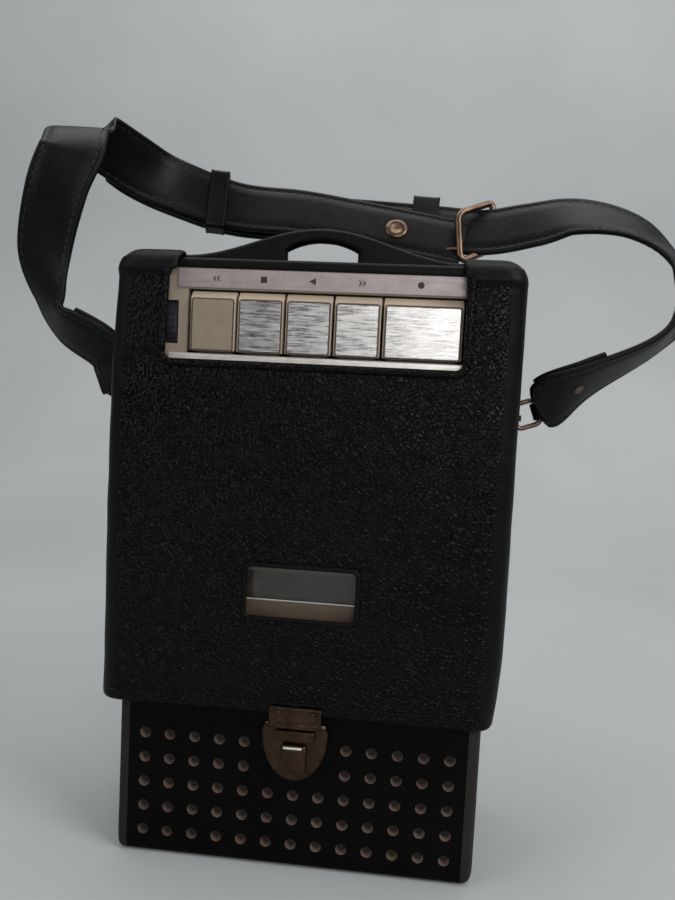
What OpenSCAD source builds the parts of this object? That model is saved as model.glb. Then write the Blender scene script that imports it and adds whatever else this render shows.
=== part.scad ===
// Portable cassette tape recorder in a leather carrying case with a shoulder strap.
// It stands upright: +Z is up, -Y is the front, the origin is the middle of the base.

/* [Recorder] */
// Width of the recorder's housing
rec_w = 134; // [128:1:150]
// Height of the recorder's housing, standing
rec_h = 226; // [222:1:250]
// Depth of the recorder's housing
rec_d = 56; // [54:1:70]
// Wall of the plastic housing and of its front panel
wall = 2.4; // [2:0.1:3]
// Radius of the housing's long edges
rec_r = 4; // [2:0.5:6]

/* [Leather case] */
// Thickness of the leather
leather = 2.2; // [1.6:0.1:2.8]
// Gap between the recorder and the leather
fit_gap = 0.4; // [0.3:0.1:1]
// Gap between the flap and the case under it, at the front and on the top
flap_gap = 0.5; // [0.4:0.1:1]
// How far the flap's loose sides stand off the case
flap_loose = 4.2; // [0.5:0.1:5]
// Height of the perforated front of the case
case_front_h = 72; // [66:1:73]
// Height of the flap's lower edge
flap_bottom = 61.5; // [60:0.5:64]
// How far the flap's sides reach back
flap_side = 21; // [12:1:26]
// Radius of the flap's upper front bend
flap_bend = 9; // [5:0.5:12]
// Diameter of a punched sound hole
hole_d = 3.2; // [2:0.1:4]
// Distance from one sound hole to the next
hole_pitch = 9.75; // [9:0.05:10]
// Sound holes in a row
hole_cols = 13; // [11:2:13]
// Rows of sound holes
hole_rows = 5; // [3:1:5]
// Height of the lowest row of sound holes
hole_first_z = 9.7; // [7:0.1:11]
// Width of the cut-out over the keys
cutout_w = 108; // [106:1:112]
// Height of the cut-out's lower edge
cutout_z = 193; // [191:0.5:194]
// Width of the cassette window in the flap
window_w = 41; // [30:1:50]
// Height of the cassette window in the flap
window_h = 19.4; // [14:0.2:24]
// Height of the middle of the cassette window
window_z = 108.3; // [105:0.1:112]

/* [Grip] */
// Length of the leather grip on the top
grip_len = 104; // [90:1:105]
// Thickness of the grip
grip_t = 6; // [4:0.5:8]
// Rise of the grip above the top of the case at its middle
grip_rise = 13.6; // [12:0.2:18]
// Rise of the grip at its two ends
grip_end_rise = 4; // [3:0.5:5]
// Width of the finger hole
finger_w = 27; // [20:1:34]
// Height of the finger hole
finger_h = 7.6; // [5:0.2:8]

/* [Keys] */
// Width of each of the four narrow keys
key_w = 17; // [15:0.2:17.2]
// Width of the wide recording key
record_key_w = 28.6; // [24:0.2:29]
// Gap between two keys
key_gap = 0.9; // [0.6:0.1:1.4]
// Length of a key's face
key_len = 20.8; // [18:0.2:21.4]
// Length of the bevelled upper end of a key
key_bevel = 3.9; // [2:0.1:6]
// Travel of a key, in degrees
key_travel = 8; // [4:1:8]
// Radius of the rod that the keys turn on
key_rod_r = 1.5; // [1:0.1:1.8]
// Radius of the volume wheel
wheel_r = 9.5; // [8:0.1:9.6]
// Thickness of the volume wheel
wheel_t = 4.2; // [3:0.1:4.4]

/* [Tape deck] */
// Distance between the two reel spindles
reel_span = 42.5; // [42:0.1:43]
// Radius of the flywheel
flywheel_r = 22; // [16:0.5:24]
// Radius of the capstan
capstan_r = 1.2; // [1:0.1:1.5]
// Radius of the motor
motor_r = 14.5; // [10:0.5:16]
// Radius of the motor pulley
pulley_r = 3; // [2.5:0.1:5]
// Radius of the rubber pressure roller
roller_r = 5.5; // [4:0.1:6]
// Travel of the head bridge
head_travel = 5.2; // [3:0.1:5.4]
// Radius of the loudspeaker
speaker_r = 27; // [20:0.5:27]
// Radius of a battery cell
cell_r = 13; // [12:0.1:13.1]
// Length of a battery cell
cell_len = 50; // [44:0.5:50]

/* [Strap] */
// Width of the shoulder strap
strap_w = 24; // [18:1:28]
// Thickness of the shoulder strap
strap_t = 2.6; // [2:0.1:3.4]
// Width of the strap where it meets its rings
strap_end_w = 11; // [8:0.5:12]
// Height of the lugs that carry the strap
lug_z = 177; // [165:1:185]
// Distance of the lugs behind the middle of the case
lug_y = 4; // [2:0.5:10]
// Radius of the wire of the strap's rings
ring_wire = 1; // [0.8:0.1:1.2]
// Width of a strap ring between its bars
ring_len = 10; // [8:0.5:12]

/* [Clearances] */
// Radial clearance of a shaft in its bore
run = 0.05; // [0.02:0.01:0.1]
// Gap between moving pieces
clear = 0.4; // [0.3:0.05:0.6]

/* [Hidden] */
$fn = 48;

// Where the housing and the leather lie, from the front to the back and from the base up
front_y = -rec_d / 2;
back_y = rec_d / 2;
panel_y = front_y + wall;
rec_z0 = leather + fit_gap;
rec_z1 = rec_z0 + rec_h;
case_w = rec_w + 2 * (fit_gap + leather);
case_d = rec_d + 2 * (fit_gap + leather);
case_front_y = -case_d / 2;
case_r = rec_r + fit_gap + leather;
top_z0 = rec_z1 + fit_gap;
top_z1 = top_z0 + leather;
flap_z0 = top_z1 + flap_gap;
flap_z1 = flap_z0 + leather;
flap_in_y = case_front_y - flap_gap;
flap_out_y = flap_in_y - leather;
flap_in_w = case_w + 2 * flap_loose;
flap_w = flap_in_w + 2 * leather;
hinge_y = case_d / 2 - leather / 2;
hinge_z = flap_z0 + leather / 2;
cutout_back_y = flap_out_y + 24;
cutout_r = 3;
grip_y = cutout_back_y - clear - 4 - grip_t / 2;
top_front_y = front_y + 6;

// The key bank, counted from its left end
key_z0 = rec_z1 - 32;
key_z1 = key_z0 + key_len;
key_face_y = front_y - 1.6;
key_depth = 8.6;
keys_w = 4 * key_w + record_key_w + 4 * key_gap;
keys_x1 = 53.4;
keys_x0 = keys_x1 - keys_w;
key_pitch = key_w + key_gap;
pivot_y = panel_y + clear + key_rod_r + 1.7;
pivot_z = key_z0 - 8.6;
bank_margin = 1.4;
bank_z0 = key_z0 - 0.9;
key_rise = (pivot_y - key_face_y) * sin(key_travel);
bank_z1 = key_z1 + key_rise + 0.9;
strip_h = 7;
strip_w = 106;
plate_t = 0.6;
wheel_x = keys_x0 - 9.6;
wheel_y = front_y - 2.2 + wheel_r;
wheel_z = key_z0 + 10.3;

// The tape deck
deck_y0 = front_y + 15.4;
deck_t = 1.6;
deck_y1 = deck_y0 + deck_t;
reel_z = window_z - 0.3;
cassette_w = 100.4;
cassette_h = 63.8;
well_w = cassette_w + 5.6;
well_z0 = reel_z - 32;
well_z1 = well_z0 + cassette_h + 7;
lid_w = well_w + 5.2;
lid_pin_r = 1;
lid_pin_z = well_z0 + 1;
lid_pin_y = front_y + 1.8;
lid_z0 = lid_pin_z - 1.8;
lid_z1 = well_z1 + 3;
capstan_x = -21;
capstan_z = reel_z + 31.5;
wheel_plane = deck_y1 + 20.6;
flywheel_t = 6;
motor_x = 36;
motor_z = capstan_z + 12.5;
bridge_y0 = deck_y0 - 1.6;
bridge_t = 1.2;
bridge_z0 = capstan_z + 8;
roller_z = capstan_z + capstan_r + roller_r + 0.3 + head_travel;
guide_x = 26;
guide_z = bridge_z0 + 17;
guide_r = 1.4;
post_r = 3.2;
post_x = rec_w / 2 - wall - post_r - 0.9;
post_z = [well_z1 + 12, rec_z1 - wall - post_r - 2];
screw_r = 1.5;

// The loudspeaker and the batteries
speaker_z = rec_z0 + wall + speaker_r + 1;
cell_pitch_z = 2 * cell_r + 1;
cell_z0 = rec_z0 + wall + cell_r + 1.6;
cell_y = back_y - wall - cell_r - 0.2;
tray_t = 1.6;
tray_w = 2 * (cell_len + 2.4) + 2 * tray_t;
hatch_w = tray_w - 6;
tray_z0 = rec_z0 + wall;
tray_z1 = cell_z0 + 2 * cell_pitch_z + cell_r + 0.4 + tray_t;
tray_y0 = cell_y - cell_r - 0.4 - tray_t;
board_y = back_y - wall - 5.6;
board_t = 1.6;

// The lock
lock_w = 25.4;
lock_t = 2.2;
lock_drop = 18.2;
lock_mid_z = flap_bottom - 7.5;
lock_slot_z = flap_bottom - 11.8;
lock_face_y = case_front_y - lock_t;
lock_plate_t = 1.2;
tongue_h = 6;
tongue_z = flap_bottom - 10.1;
button_w = 10;
button_h = 10.8;

// The strap's carriers
lug_x = case_w / 2;
lug_flange = 1.2;
neck_r = 2;
neck_len = 4.4;
swivel_r = 3.8;
ear_len = 5.8;
ring_x = lug_x + lug_flange + neck_len + 3.4;
ring_tilt = 20;
ring_h = 10;
sleeve_r = ring_wire + 1.6;
ring_out = [ring_x + ring_len * cos(ring_tilt), lug_y, lug_z + ring_len * sin(ring_tilt)];

// Hand-chosen points of the strap, each with the way its face looks.
// Those beside the case are counted from its side, and the rest lie behind the opened flap.
// On the left the strap folds over at its highest point and comes back with its other face out.
left_route = [
    [-ring_out.x - 3, lug_y, ring_out.z + 2, 0, -1, 0],
    [-lug_x - 32.6, 2, 198, 0, -1, 0],
    [-lug_x - 43.4, -1, 210, -0.3, -1, 0],
    [-lug_x - 46.8, -5, 226, -0.45, -0.9, 0.05],
    [-lug_x - 45, -9, 241, -0.2, -1, 0.1],
    [-lug_x - 39.8, -11, 258, 0, -1, 0.15],
    [-lug_x - 36.4, -9, 273, 0, -1, 0.3],
    [-lug_x - 36, 2, 288.5, 0, -0.2, 1],
    [-lug_x - 32.4, 15, 288.5, 0.3, 0.9, 0.4],
    [-lug_x - 22.4, 33, 282.6, 0.3, 0.95, -0.1],
    [-lug_x - 6.2, 43.5, 277.6, 0.1, 0.9, -0.45],
    [-50, 48, 271, 0, 0.8, -0.7],
    [-20, 48, 266.4, 0, 0.8, -0.7],
    [10, 48, 263.2, 0, 0.8, -0.7],
    [45, 48, 261.8, 0, 0.8, -0.7],
    [86, 47.6, 263, 0, 0.8, -0.7]];
right_route = [
    [24, 45.6, 264.6, 0, -0.8, 0.7],
    [45, 45.6, 264, 0, -0.8, 0.7],
    [lug_x - 3.6, 45.6, 264.4, 0, -0.8, 0.7],
    [lug_x + 16.4, 45, 265.4, 0, -0.8, 0.7],
    [lug_x + 36.4, 41.5, 266.6, 0, -0.8, 0.7],
    [lug_x + 57.4, 32, 263, 0.2, -0.8, 0.7],
    [lug_x + 73.4, 21, 250, 0.5, -0.8, 0.5],
    [lug_x + 79.4, 11, 230, 0.6, -0.9, 0.1],
    [lug_x + 70.4, 4, 210, 0.4, -1, -0.3],
    [lug_x + 51.4, 2, 197, 0.2, -1, -0.3],
    [ring_out.x + 3, lug_y, ring_out.z + 2, 0, -1, 0]];
route_steps = 3;
buckle_step = 5;
keeper_step = 32;
taper_steps = 6;
buckle_wire = 1.3;
buckle_lift = strap_t / 2 + buckle_wire + 0.15;
buckle_len = 19;
prong_r = 1;
end_rivet_step = 2;
rivet_lift = strap_t / 2 + 0.3;

// Vector helpers
function part3(p) = [p[0], p[1], p[2]];
function hint3(p) = [p[3], p[4], p[5]];
function unit(v) = v / norm(v);
function pick(r, i) = r[max(0, min(len(r) - 1, i))];
function curve_at(a, b, c, d, u) = 0.5 * (2 * b + (c - a) * u + (2 * a - 5 * b + 4 * c - d) * u * u
    + (3 * b - a - 3 * c + d) * u * u * u);
function smooth(r) = concat([for (i = [0:len(r) - 2], k = [0:route_steps - 1])
    curve_at(pick(r, i - 1), r[i], r[i + 1], pick(r, i + 2), k / route_steps)], [r[len(r) - 1]]);
function along(r, i) = unit(part3(pick(r, i + 1)) - part3(pick(r, i - 1)));
function across(r, i) = unit(cross(along(r, i), hint3(r[i])));
function outward(r, i) = cross(across(r, i), along(r, i));

// The strap is narrow at its ring and widens over a few steps of its route
function width_at(i, n, narrow_first, narrow_last) =
    narrow_first && i < taper_steps ? strap_end_w + (strap_w - strap_end_w) * i / taper_steps :
    narrow_last && n - i < taper_steps ? strap_end_w + (strap_w - strap_end_w) * (n - i) / taper_steps :
    strap_w;

// A flat band swept along a route
module band(route, narrow_first, narrow_last) {
    r = smooth(route);
    n = len(r) - 1;
    points = [for (i = [0:n], side = [[-1, -1], [1, -1], [1, 1], [-1, 1]])
        part3(r[i]) + across(r, i) * side.x * width_at(i, n, narrow_first, narrow_last) / 2
            + outward(r, i) * side.y * strap_t / 2];
    walls = [for (i = [0:n - 1], k = [0:3], half = [0, 1])
        let (a = 4 * i + k, b = 4 * i + (k + 1) % 4)
        half == 0 ? [a, b, a + 4] : [b, b + 4, a + 4]];
    first = [[0, 2, 1], [0, 3, 2]];
    last = [[4 * n, 4 * n + 1, 4 * n + 2], [4 * n, 4 * n + 2, 4 * n + 3]];
    polyhedron(points, concat(walls, first, last));
}

// Puts a piece at a point of a route: X along the strap, Y across it, Z out of its face
module on_route(route, i) {
    r = smooth(route);
    t = along(r, i);
    w = across(r, i);
    o = outward(r, i);
    p = part3(r[i]);
    multmatrix([[t.x, w.x, o.x, p.x], [t.y, w.y, o.y, p.y], [t.z, w.z, o.z, p.z], [0, 0, 0, 1]]) children();
}

// A rectangle with round corners
module rrect(w, h, r) {
    square([w - 2 * r, h], center = true);
    square([w, h - 2 * r], center = true);
    for (x = [-1, 1], y = [-1, 1]) translate([x * (w / 2 - r), y * (h / 2 - r)]) circle(r);
}

// A flat shape drawn in X and Z, made solid from y0 to y1
module upright(y0, y1) {
    translate([0, y1, 0]) rotate([90, 0, 0]) linear_extrude(y1 - y0) children();
}

// A round piece along Y
module rod_y(x, z, r, y0, y1) {
    translate([x, y0, z]) rotate([-90, 0, 0]) cylinder(r = r, h = y1 - y0);
}

// A round piece along X
module rod_x(y, z, r, x0, x1) {
    translate([x0, y, z]) rotate([0, 90, 0]) cylinder(r = r, h = x1 - x0);
}

// A block given by its two corners
module block(a, b) {
    translate(a) cube(b - a);
}

// Leather case

module case_shell() {
    color("#1b1a1c") difference() {
        linear_extrude(top_z0) rrect(case_w, case_d, case_r);
        translate([0, 0, leather]) linear_extrude(top_z0)
            rrect(case_w - 2 * leather, case_d - 2 * leather, case_r - leather);
        block([-case_w, -case_d, case_front_h], [case_w, front_y - fit_gap, 2 * top_z0]);
        for (c = [0:hole_cols - 1], r = [0:hole_rows - 1])
            if (r < hole_rows - 2 || abs(c - (hole_cols - 1) / 2) > 1.5)
                rod_y((c - (hole_cols - 1) / 2) * hole_pitch, hole_first_z + r * hole_pitch, hole_d / 2,
                    -case_d, front_y);
    }
}

// The top of the case with its standing grip, a hump with a finger hole
module carry_grip() {
    steps = 24;
    function rise(u) = grip_end_rise + (grip_rise - grip_end_rise) * pow(cos(90 * u), 2);
    hump = [for (i = [-steps:steps]) [i / steps * grip_len / 2, top_z1 + rise(i / steps)]];
    color("#1b1a1c") difference() {
        union() {
            intersection() {
                block([-case_w / 2, top_front_y, top_z0], [case_w / 2, case_d / 2, top_z1]);
                linear_extrude(2 * top_z1) rrect(case_w, case_d, case_r);
            }
            upright(grip_y - grip_t / 2, grip_y + grip_t / 2)
                polygon(concat([[grip_len / 2, top_z0], [-grip_len / 2, top_z0]], hump));
        }
        upright(grip_y - grip_t, grip_y + grip_t) translate([0, top_z1 + 1]) intersection() {
            translate([-finger_w / 2, 0]) square([finger_w, finger_h]);
            translate([0, finger_h - finger_w]) circle(finger_w);
        }
    }
}

module flap_outline(w, front, top, bend) {
    depth = hinge_y - front;
    intersection() {
        linear_extrude(top) union() {
            translate([0, front + depth / 2]) rrect(w, depth, bend);
            translate([-w / 2, front + depth / 2]) square([w, depth / 2]);
        }
        rotate([90, 0, 90]) linear_extrude(2 * w, center = true) union() {
            translate([front, -top]) square([depth, 2 * top - bend]);
            translate([front + bend, 0]) square([depth - bend, top]);
            translate([front + bend, top - bend]) circle(bend);
        }
    }
}

module flap() {
    side_y = flap_out_y + flap_side;
    color("#1b1a1c") difference() {
        union() {
            difference() {
                flap_outline(flap_w, flap_out_y, flap_z1, flap_bend);
                flap_outline(flap_in_w, flap_in_y, flap_z0, flap_bend - leather);
                block([-flap_w, -case_d, -1], [flap_w, case_d, flap_bottom]);
                block([-flap_w, side_y, -1], [flap_w, case_d, flap_z0]);
            }
            rod_x(hinge_y, hinge_z, leather / 2, -flap_w / 2, flap_w / 2);
        }
        block([-cutout_w / 2, flap_out_y - 1, cutout_z + cutout_r],
            [cutout_w / 2, cutout_back_y, flap_z1 + 1]);
        upright(flap_out_y - 1, flap_in_y + 1) translate([0, cutout_z + 2 * cutout_r])
            rrect(cutout_w, 4 * cutout_r, cutout_r);
        upright(flap_out_y - 1, flap_in_y + 1) translate([0, window_z]) rrect(window_w, window_h, cutout_r);
    }
}

// Lock

// A shield that narrows to a round point, with a slot for the tongue
module lock_shield() {
    r = lock_w / 2;
    steps = 24;
    point = [for (i = [0:steps]) [-r * cos(180 * i / steps), -lock_drop * sin(180 * i / steps)]];
    color("#b8a888") difference() {
        upright(lock_face_y, case_front_y) translate([0, lock_mid_z])
            polygon(concat([[r, flap_bottom - lock_mid_z - 3], [-r, flap_bottom - lock_mid_z - 3]], point));
        upright(lock_face_y - 1, lock_face_y + 0.8) translate([0, lock_slot_z]) rrect(17, 3, 1.4);
    }
}

module lock_plate() {
    y0 = flap_out_y - lock_plate_t;
    color("#c9bda2") {
        upright(y0, flap_out_y) translate([0, flap_bottom - 0.3]) rrect(20, 8.4, 0.9);
        upright(y0, flap_out_y - 0.2) translate([0, tongue_z + tongue_h / 2]) rrect(16, tongue_h, 0.9);
    }
}

module flap_rivets() {
    y0 = flap_out_y - lock_plate_t;
    color("#d8ceb4") for (x = [-6.4, 6.4]) rod_y(x, flap_bottom + 1.6, 1.1, y0 - 0.7, y0);
}

module lock_button() {
    top = tongue_z - clear;
    y1 = lock_face_y;
    color("#c9bda2") difference() {
        upright(y1 - 1.7, y1) translate([0, top - button_h / 2]) rrect(button_w, button_h, 1.2);
        upright(y1 - 2, y1 - 1) translate([0, top - 1.6]) rrect(button_w - 3, 0.9, 0.3);
    }
}

// Recorder housing

module housing_plan() {
    rrect(rec_w, rec_d, rec_r);
}

module rear_housing() {
    color("#3a3838") difference() {
        union() {
            difference() {
                translate([0, 0, rec_z0]) linear_extrude(rec_h) housing_plan();
                block([-rec_w, -rec_d, 0], [rec_w, panel_y, 2 * rec_h]);
                block([-rec_w / 2 + wall, panel_y - 1, rec_z0 + wall],
                    [rec_w / 2 - wall, back_y - wall, rec_z1 - wall]);
            }
            for (x = [-1, 1], z = post_z) rod_y(x * post_x, z, post_r, deck_y1, back_y - wall / 2);
            for (x = [-40, 40]) rod_y(x, rec_z1 - 40, 2, board_y + board_t, back_y - wall / 2);
        }
        for (x = [-1, 1], z = post_z) rod_y(x * post_x, z, screw_r + run, deck_y1 - 1, deck_y1 + 9);
        block([-hatch_w / 2, back_y - wall - 1, tray_z0 + 3], [hatch_w / 2, back_y + 1, tray_z1 - 3]);
    }
}

module battery_cover() {
    color("#434040") {
        block([-hatch_w / 2 + 0.3, back_y - wall, tray_z0 + 3.3], [hatch_w / 2 - 0.3, back_y, tray_z1 - 3.3]);
    }
}

module pin_boss(x) {
    block([x, panel_y - 0.01, lid_pin_z - 3], [x + 4, panel_y + 2.4, lid_pin_z + 3]);
}

module front_panel() {
    slot_z0 = rec_z0 + 8;
    slot_h = 44;
    slot_pitch = 5;
    opening_z0 = lid_pin_z - 3.4;
    opening_w = lid_w + 2 * clear;
    well_back = deck_y0 - 0.3;
    well_front = panel_y + 2.4;
    color("#cfc2ae") difference() {
        union() {
            intersection() {
                translate([0, 0, rec_z0]) linear_extrude(rec_h) housing_plan();
                block([-rec_w, -rec_d, 0], [rec_w, panel_y, 2 * rec_h]);
            }
            for (x = [opening_w / 2, -opening_w / 2 - 4]) pin_boss(x);
            for (x = [keys_x0 - 4.6, keys_x1 + 1])
                block([x, panel_y - 0.01, pivot_z - 3.4], [x + 2.4, pivot_y + 3.4, pivot_z + 3.4]);
            for (x = [-1, 1]) translate([x * (well_w / 2 + 0.8), 0, 0])
                block([-0.8, well_front, well_z0], [0.8, well_back, well_z1]);
            block([-well_w / 2 - 1.6, well_front, well_z0 - 1.6], [well_w / 2 + 1.6, well_back, well_z0]);
            for (x = [-1, 1]) block(
                [x * (opening_w / 2 + 1.6) - 1.6, panel_y - 0.01, well_z1 - 8],
                [x * (opening_w / 2 + 1.6) + 1.6, well_front + 1, well_z1]);
            for (x = [-1, 1]) block(
                [min(x * well_w / 2, x * (opening_w / 2 + 3.2)), well_front, well_z1 - 8],
                [max(x * well_w / 2, x * (opening_w / 2 + 3.2)), well_front + 1, well_z1]);
        }
        block([-opening_w / 2, front_y - 1, opening_z0], [opening_w / 2, panel_y + 1, lid_z1 + clear]);
        block([keys_x0 - bank_margin, front_y - 1, bank_z0], [keys_x1 + bank_margin, panel_y + 1, bank_z1]);
        block([wheel_x - clear, front_y - 1, wheel_z - 8],
            [wheel_x + wheel_t + clear, panel_y + 1, wheel_z + 8]);
        for (i = [-10:10]) upright(front_y - 1, panel_y + 1)
            translate([i * slot_pitch, slot_z0 + slot_h / 2]) rrect(2, slot_h, 0.9);
        rod_x(lid_pin_y, lid_pin_z, lid_pin_r + run, -lid_w / 2 - 3.6, lid_w / 2 + 3.6);
        rod_x(pivot_y, pivot_z, key_rod_r + run, keys_x0 - 6, keys_x1 + 6);
    }
}

module label_strip() {
    color("#d9d4cc") upright(front_y - 0.8, front_y)
        translate([keys_x1 + 0.6 - strip_w / 2, bank_z1 + 0.4 + strip_h / 2]) rrect(strip_w, strip_h, 0.6);
}

module key_trim() {
    color("#dcd8d2") upright(front_y - 1.2, front_y)
        translate([0, bank_z0 - 1.5]) rrect(cutout_w + 2, 2.6, 0.6);
}

// Keys

module key_solid(x0, w) {
    depth_y = key_face_y + key_depth;
    arm_r = key_rod_r + 1.5;
    profile = [[key_face_y, key_z0], [key_face_y, key_z1 - key_bevel], [key_face_y + 2.1, key_z1],
        [depth_y, key_z1], [depth_y, key_z0]];
    color("#cbb89c") difference() {
        union() {
            translate([x0, 0, 0]) rotate([90, 0, 90]) linear_extrude(w) polygon(profile);
            block([x0 + 2, pivot_y - arm_r, pivot_z], [x0 + w - 2, pivot_y + arm_r, key_z0 + 1]);
            rod_x(pivot_y, pivot_z, arm_r, x0 + 2, x0 + w - 2);
        }
        rod_x(pivot_y, pivot_z, key_rod_r + run, x0 - 1, x0 + w + 1);
    }
}

module key_insert(x0, w) {
    y0 = key_face_y - plate_t;
    h = key_len - key_bevel - 0.6;
    color("#d6d2c6") upright(y0, key_face_y)
        translate([x0 + w / 2, key_z0 + 0.3 + h / 2]) rrect(w - 2, h, 0.5);
}

module key_rewind() key_solid(keys_x0, key_w);
module key_stop() key_solid(keys_x0 + key_pitch, key_w);
module key_start() key_solid(keys_x0 + 2 * key_pitch, key_w);
module key_forward() key_solid(keys_x0 + 3 * key_pitch, key_w);
module key_record() key_solid(keys_x0 + 4 * key_pitch, record_key_w);
module plate_rewind() key_insert(keys_x0, key_w);
module plate_stop() key_insert(keys_x0 + key_pitch, key_w);
module plate_start() key_insert(keys_x0 + 2 * key_pitch, key_w);
module plate_forward() key_insert(keys_x0 + 3 * key_pitch, key_w);
module plate_record() key_insert(keys_x0 + 4 * key_pitch, record_key_w);

module key_rod() {
    color("silver") rod_x(pivot_y, pivot_z, key_rod_r, keys_x0 - 5, keys_x1 + 4);
}

// Volume control

module volume_wheel() {
    grooves = 24;
    color("#2b2a2e") translate([wheel_x, wheel_y, wheel_z]) rotate([0, 90, 0])
        linear_extrude(wheel_t) difference() {
            circle(wheel_r);
            circle(1.5 + run);
            for (i = [0:grooves - 1]) rotate(360 / grooves * i) translate([wheel_r + 0.2, 0]) circle(0.6);
        }
}

module volume_pot() {
    x0 = wheel_x + wheel_t + 0.5;
    color("#6b5a3c") {
        rod_x(wheel_y, wheel_z, 4.4, x0, x0 + 3);
        block([x0, panel_y, wheel_z - 2], [x0 + 3, wheel_y, wheel_z + 2]);
        rod_x(wheel_y, wheel_z, 1.5, wheel_x - 0.4, x0 + 1);
    }
}

// Loudspeaker

module speaker_frame() {
    depth = 13;
    r = speaker_r;
    profile = [[r - 4, 0], [r, 0], [r, 1.4], [r - 3, 1.6], [r * 0.55, depth - 3], [r * 0.55, depth],
        [r * 0.5, depth + 6], [0, depth + 6], [0, depth - 1.4], [r * 0.42, depth - 3], [r - 5.2, 1.6]];
    color("#55565a") translate([0, panel_y, speaker_z]) rotate([-90, 0, 0]) rotate_extrude() polygon(profile);
}

module speaker_cone() {
    r = speaker_r - 5.4;
    cap_r = speaker_r * 0.3;
    profile = [[r, 0.4], [r, 1.2], [cap_r, 8.6], [0, 7.4], [0, 6.6], [cap_r, 7.6]];
    color("#2a2724") translate([0, panel_y, speaker_z]) rotate([-90, 0, 0]) rotate_extrude() polygon(profile);
}

// Tape deck

module mech_chassis() {
    w = rec_w - 2 * wall - 1.2;
    z0 = well_z0 + 14.8;
    z1 = rec_z1 - wall - 0.6;
    room_z0 = max(key_z0 - 14, guide_z + guide_r + 3);
    color("#9c9a93") difference() {
        union() {
            block([-w / 2, deck_y0, z0], [w / 2, deck_y1, z1]);
            rod_y(capstan_x, capstan_z, 4, deck_y1 - 0.1, wheel_plane - 1);
            for (x = [-1, 1]) rod_y(x * guide_x, guide_z, guide_r, bridge_y0 - 1.2, deck_y0 + 0.1);
        }
        rod_y(capstan_x, capstan_z, capstan_r + run, deck_y0 - 1, wheel_plane);
        for (x = [-1, 1]) rod_y(x * reel_span / 2, reel_z, 1.5 + run, deck_y0 - 1, deck_y1 + 1);
        for (x = [-1, 1], z = post_z) rod_y(x * post_x, z, screw_r + run, deck_y0 - 1, deck_y1 + 1);
        block([-w / 2 - 1, deck_y0 - 1, room_z0], [w / 2 - 8, deck_y1 + 1, wheel_z + wheel_r + 1]);
    }
}

module chassis_screws() {
    color("silver") for (x = [-1, 1], z = post_z) {
        rod_y(x * post_x, z, screw_r, deck_y0, deck_y1 + 8);
        rod_y(x * post_x, z, 2.9, deck_y0 - 1.6, deck_y0);
    }
}

module reel(x) {
    tip = deck_y0 - 10;
    color("#e6e2d8") {
        rod_y(x, reel_z, 14, deck_y1 + clear, deck_y1 + clear + 3.4);
        rod_y(x, reel_z, 1.5, deck_y0 - clear - 0.5, deck_y1 + clear + 0.5);
        rod_y(x, reel_z, 3, tip, deck_y0 - clear);
        translate([x, tip - 1.4, reel_z]) rotate([-90, 0, 0]) cylinder(r1 = 1.6, r2 = 3, h = 1.4);
        for (a = [0:60:300]) translate([x, 0, reel_z]) rotate([0, a, 0])
            block([2, tip + 1, -0.7], [4.3, deck_y0 - clear - 1, 0.7]);
    }
}

module supply_reel() reel(reel_span / 2);
module takeup_reel() reel(-reel_span / 2);

module flywheel() {
    color("#b4b2ac") {
        difference() {
            rod_y(capstan_x, capstan_z, flywheel_r, wheel_plane, wheel_plane + flywheel_t);
            translate([capstan_x, wheel_plane + flywheel_t - 1.5, capstan_z]) rotate([-90, 0, 0])
                difference() {
                    cylinder(r = flywheel_r - 3, h = 2);
                    translate([0, 0, -1]) cylinder(r = 6, h = 4);
                }
        }
        rod_y(capstan_x, capstan_z, capstan_r, deck_y0 - 11.4, wheel_plane + 1);
    }
}

module motor() {
    color("#8f9296") difference() {
        union() {
            rod_y(motor_x, motor_z, motor_r, deck_y1, wheel_plane - 2);
            rod_y(motor_x, motor_z, 4, wheel_plane - 2.2, wheel_plane - 0.8);
        }
        rod_y(motor_x, motor_z, 1 + run, wheel_plane - 6, wheel_plane + 1);
    }
}

module motor_pulley() {
    color("#c8b060") {
        rod_y(motor_x, motor_z, pulley_r, wheel_plane, wheel_plane + flywheel_t);
        rod_y(motor_x, motor_z, 1, wheel_plane - 5, wheel_plane + 1);
    }
}

module belt_outline(grow) {
    a = [capstan_x, capstan_z];
    b = [motor_x, motor_z];
    d = norm(b - a);
    turn = atan2(b.y - a.y, b.x - a.x);
    lean = acos((flywheel_r - pulley_r) / d);
    function rim(c, r, ang) = c + r * [cos(ang), sin(ang)];
    ra = flywheel_r + grow;
    rb = pulley_r + grow;
    translate(a) circle(ra);
    translate(b) circle(rb);
    polygon([rim(a, ra, turn + lean), rim(a, ra, turn - lean),
        rim(b, rb, turn - lean), rim(b, rb, turn + lean)]);
}

module drive_belt() {
    color("#181818") upright(wheel_plane + 1.4, wheel_plane + flywheel_t - 1.4) difference() {
        belt_outline(1.4);
        belt_outline(0.3);
    }
}

module head_bridge() {
    z1 = guide_z + head_travel + guide_r + 3;
    color("#a8a6a0") {
        difference() {
            block([-34, bridge_y0, bridge_z0], [34, bridge_y0 + bridge_t, z1]);
            for (x = [-1, 1]) upright(bridge_y0 - 1, bridge_y0 + bridge_t + 1)
                translate([x * guide_x, guide_z + head_travel / 2])
                    rrect(2 * (guide_r + run), head_travel + 2 * (guide_r + run) + 0.4, guide_r + run - 0.01);
        }
        rod_y(capstan_x, roller_z, 1, bridge_y0 - 9.6, bridge_y0 + 0.2);
    }
}

module sound_head() {
    z0 = bridge_z0 - 2.2;
    color("#c9c6be") difference() {
        block([-6, bridge_y0 - 9.2, z0], [6, bridge_y0, z0 + 9]);
        block([-1, bridge_y0 - 10, z0 - 1], [1, bridge_y0 - 5.6, z0 + 0.4]);
    }
}

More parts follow.
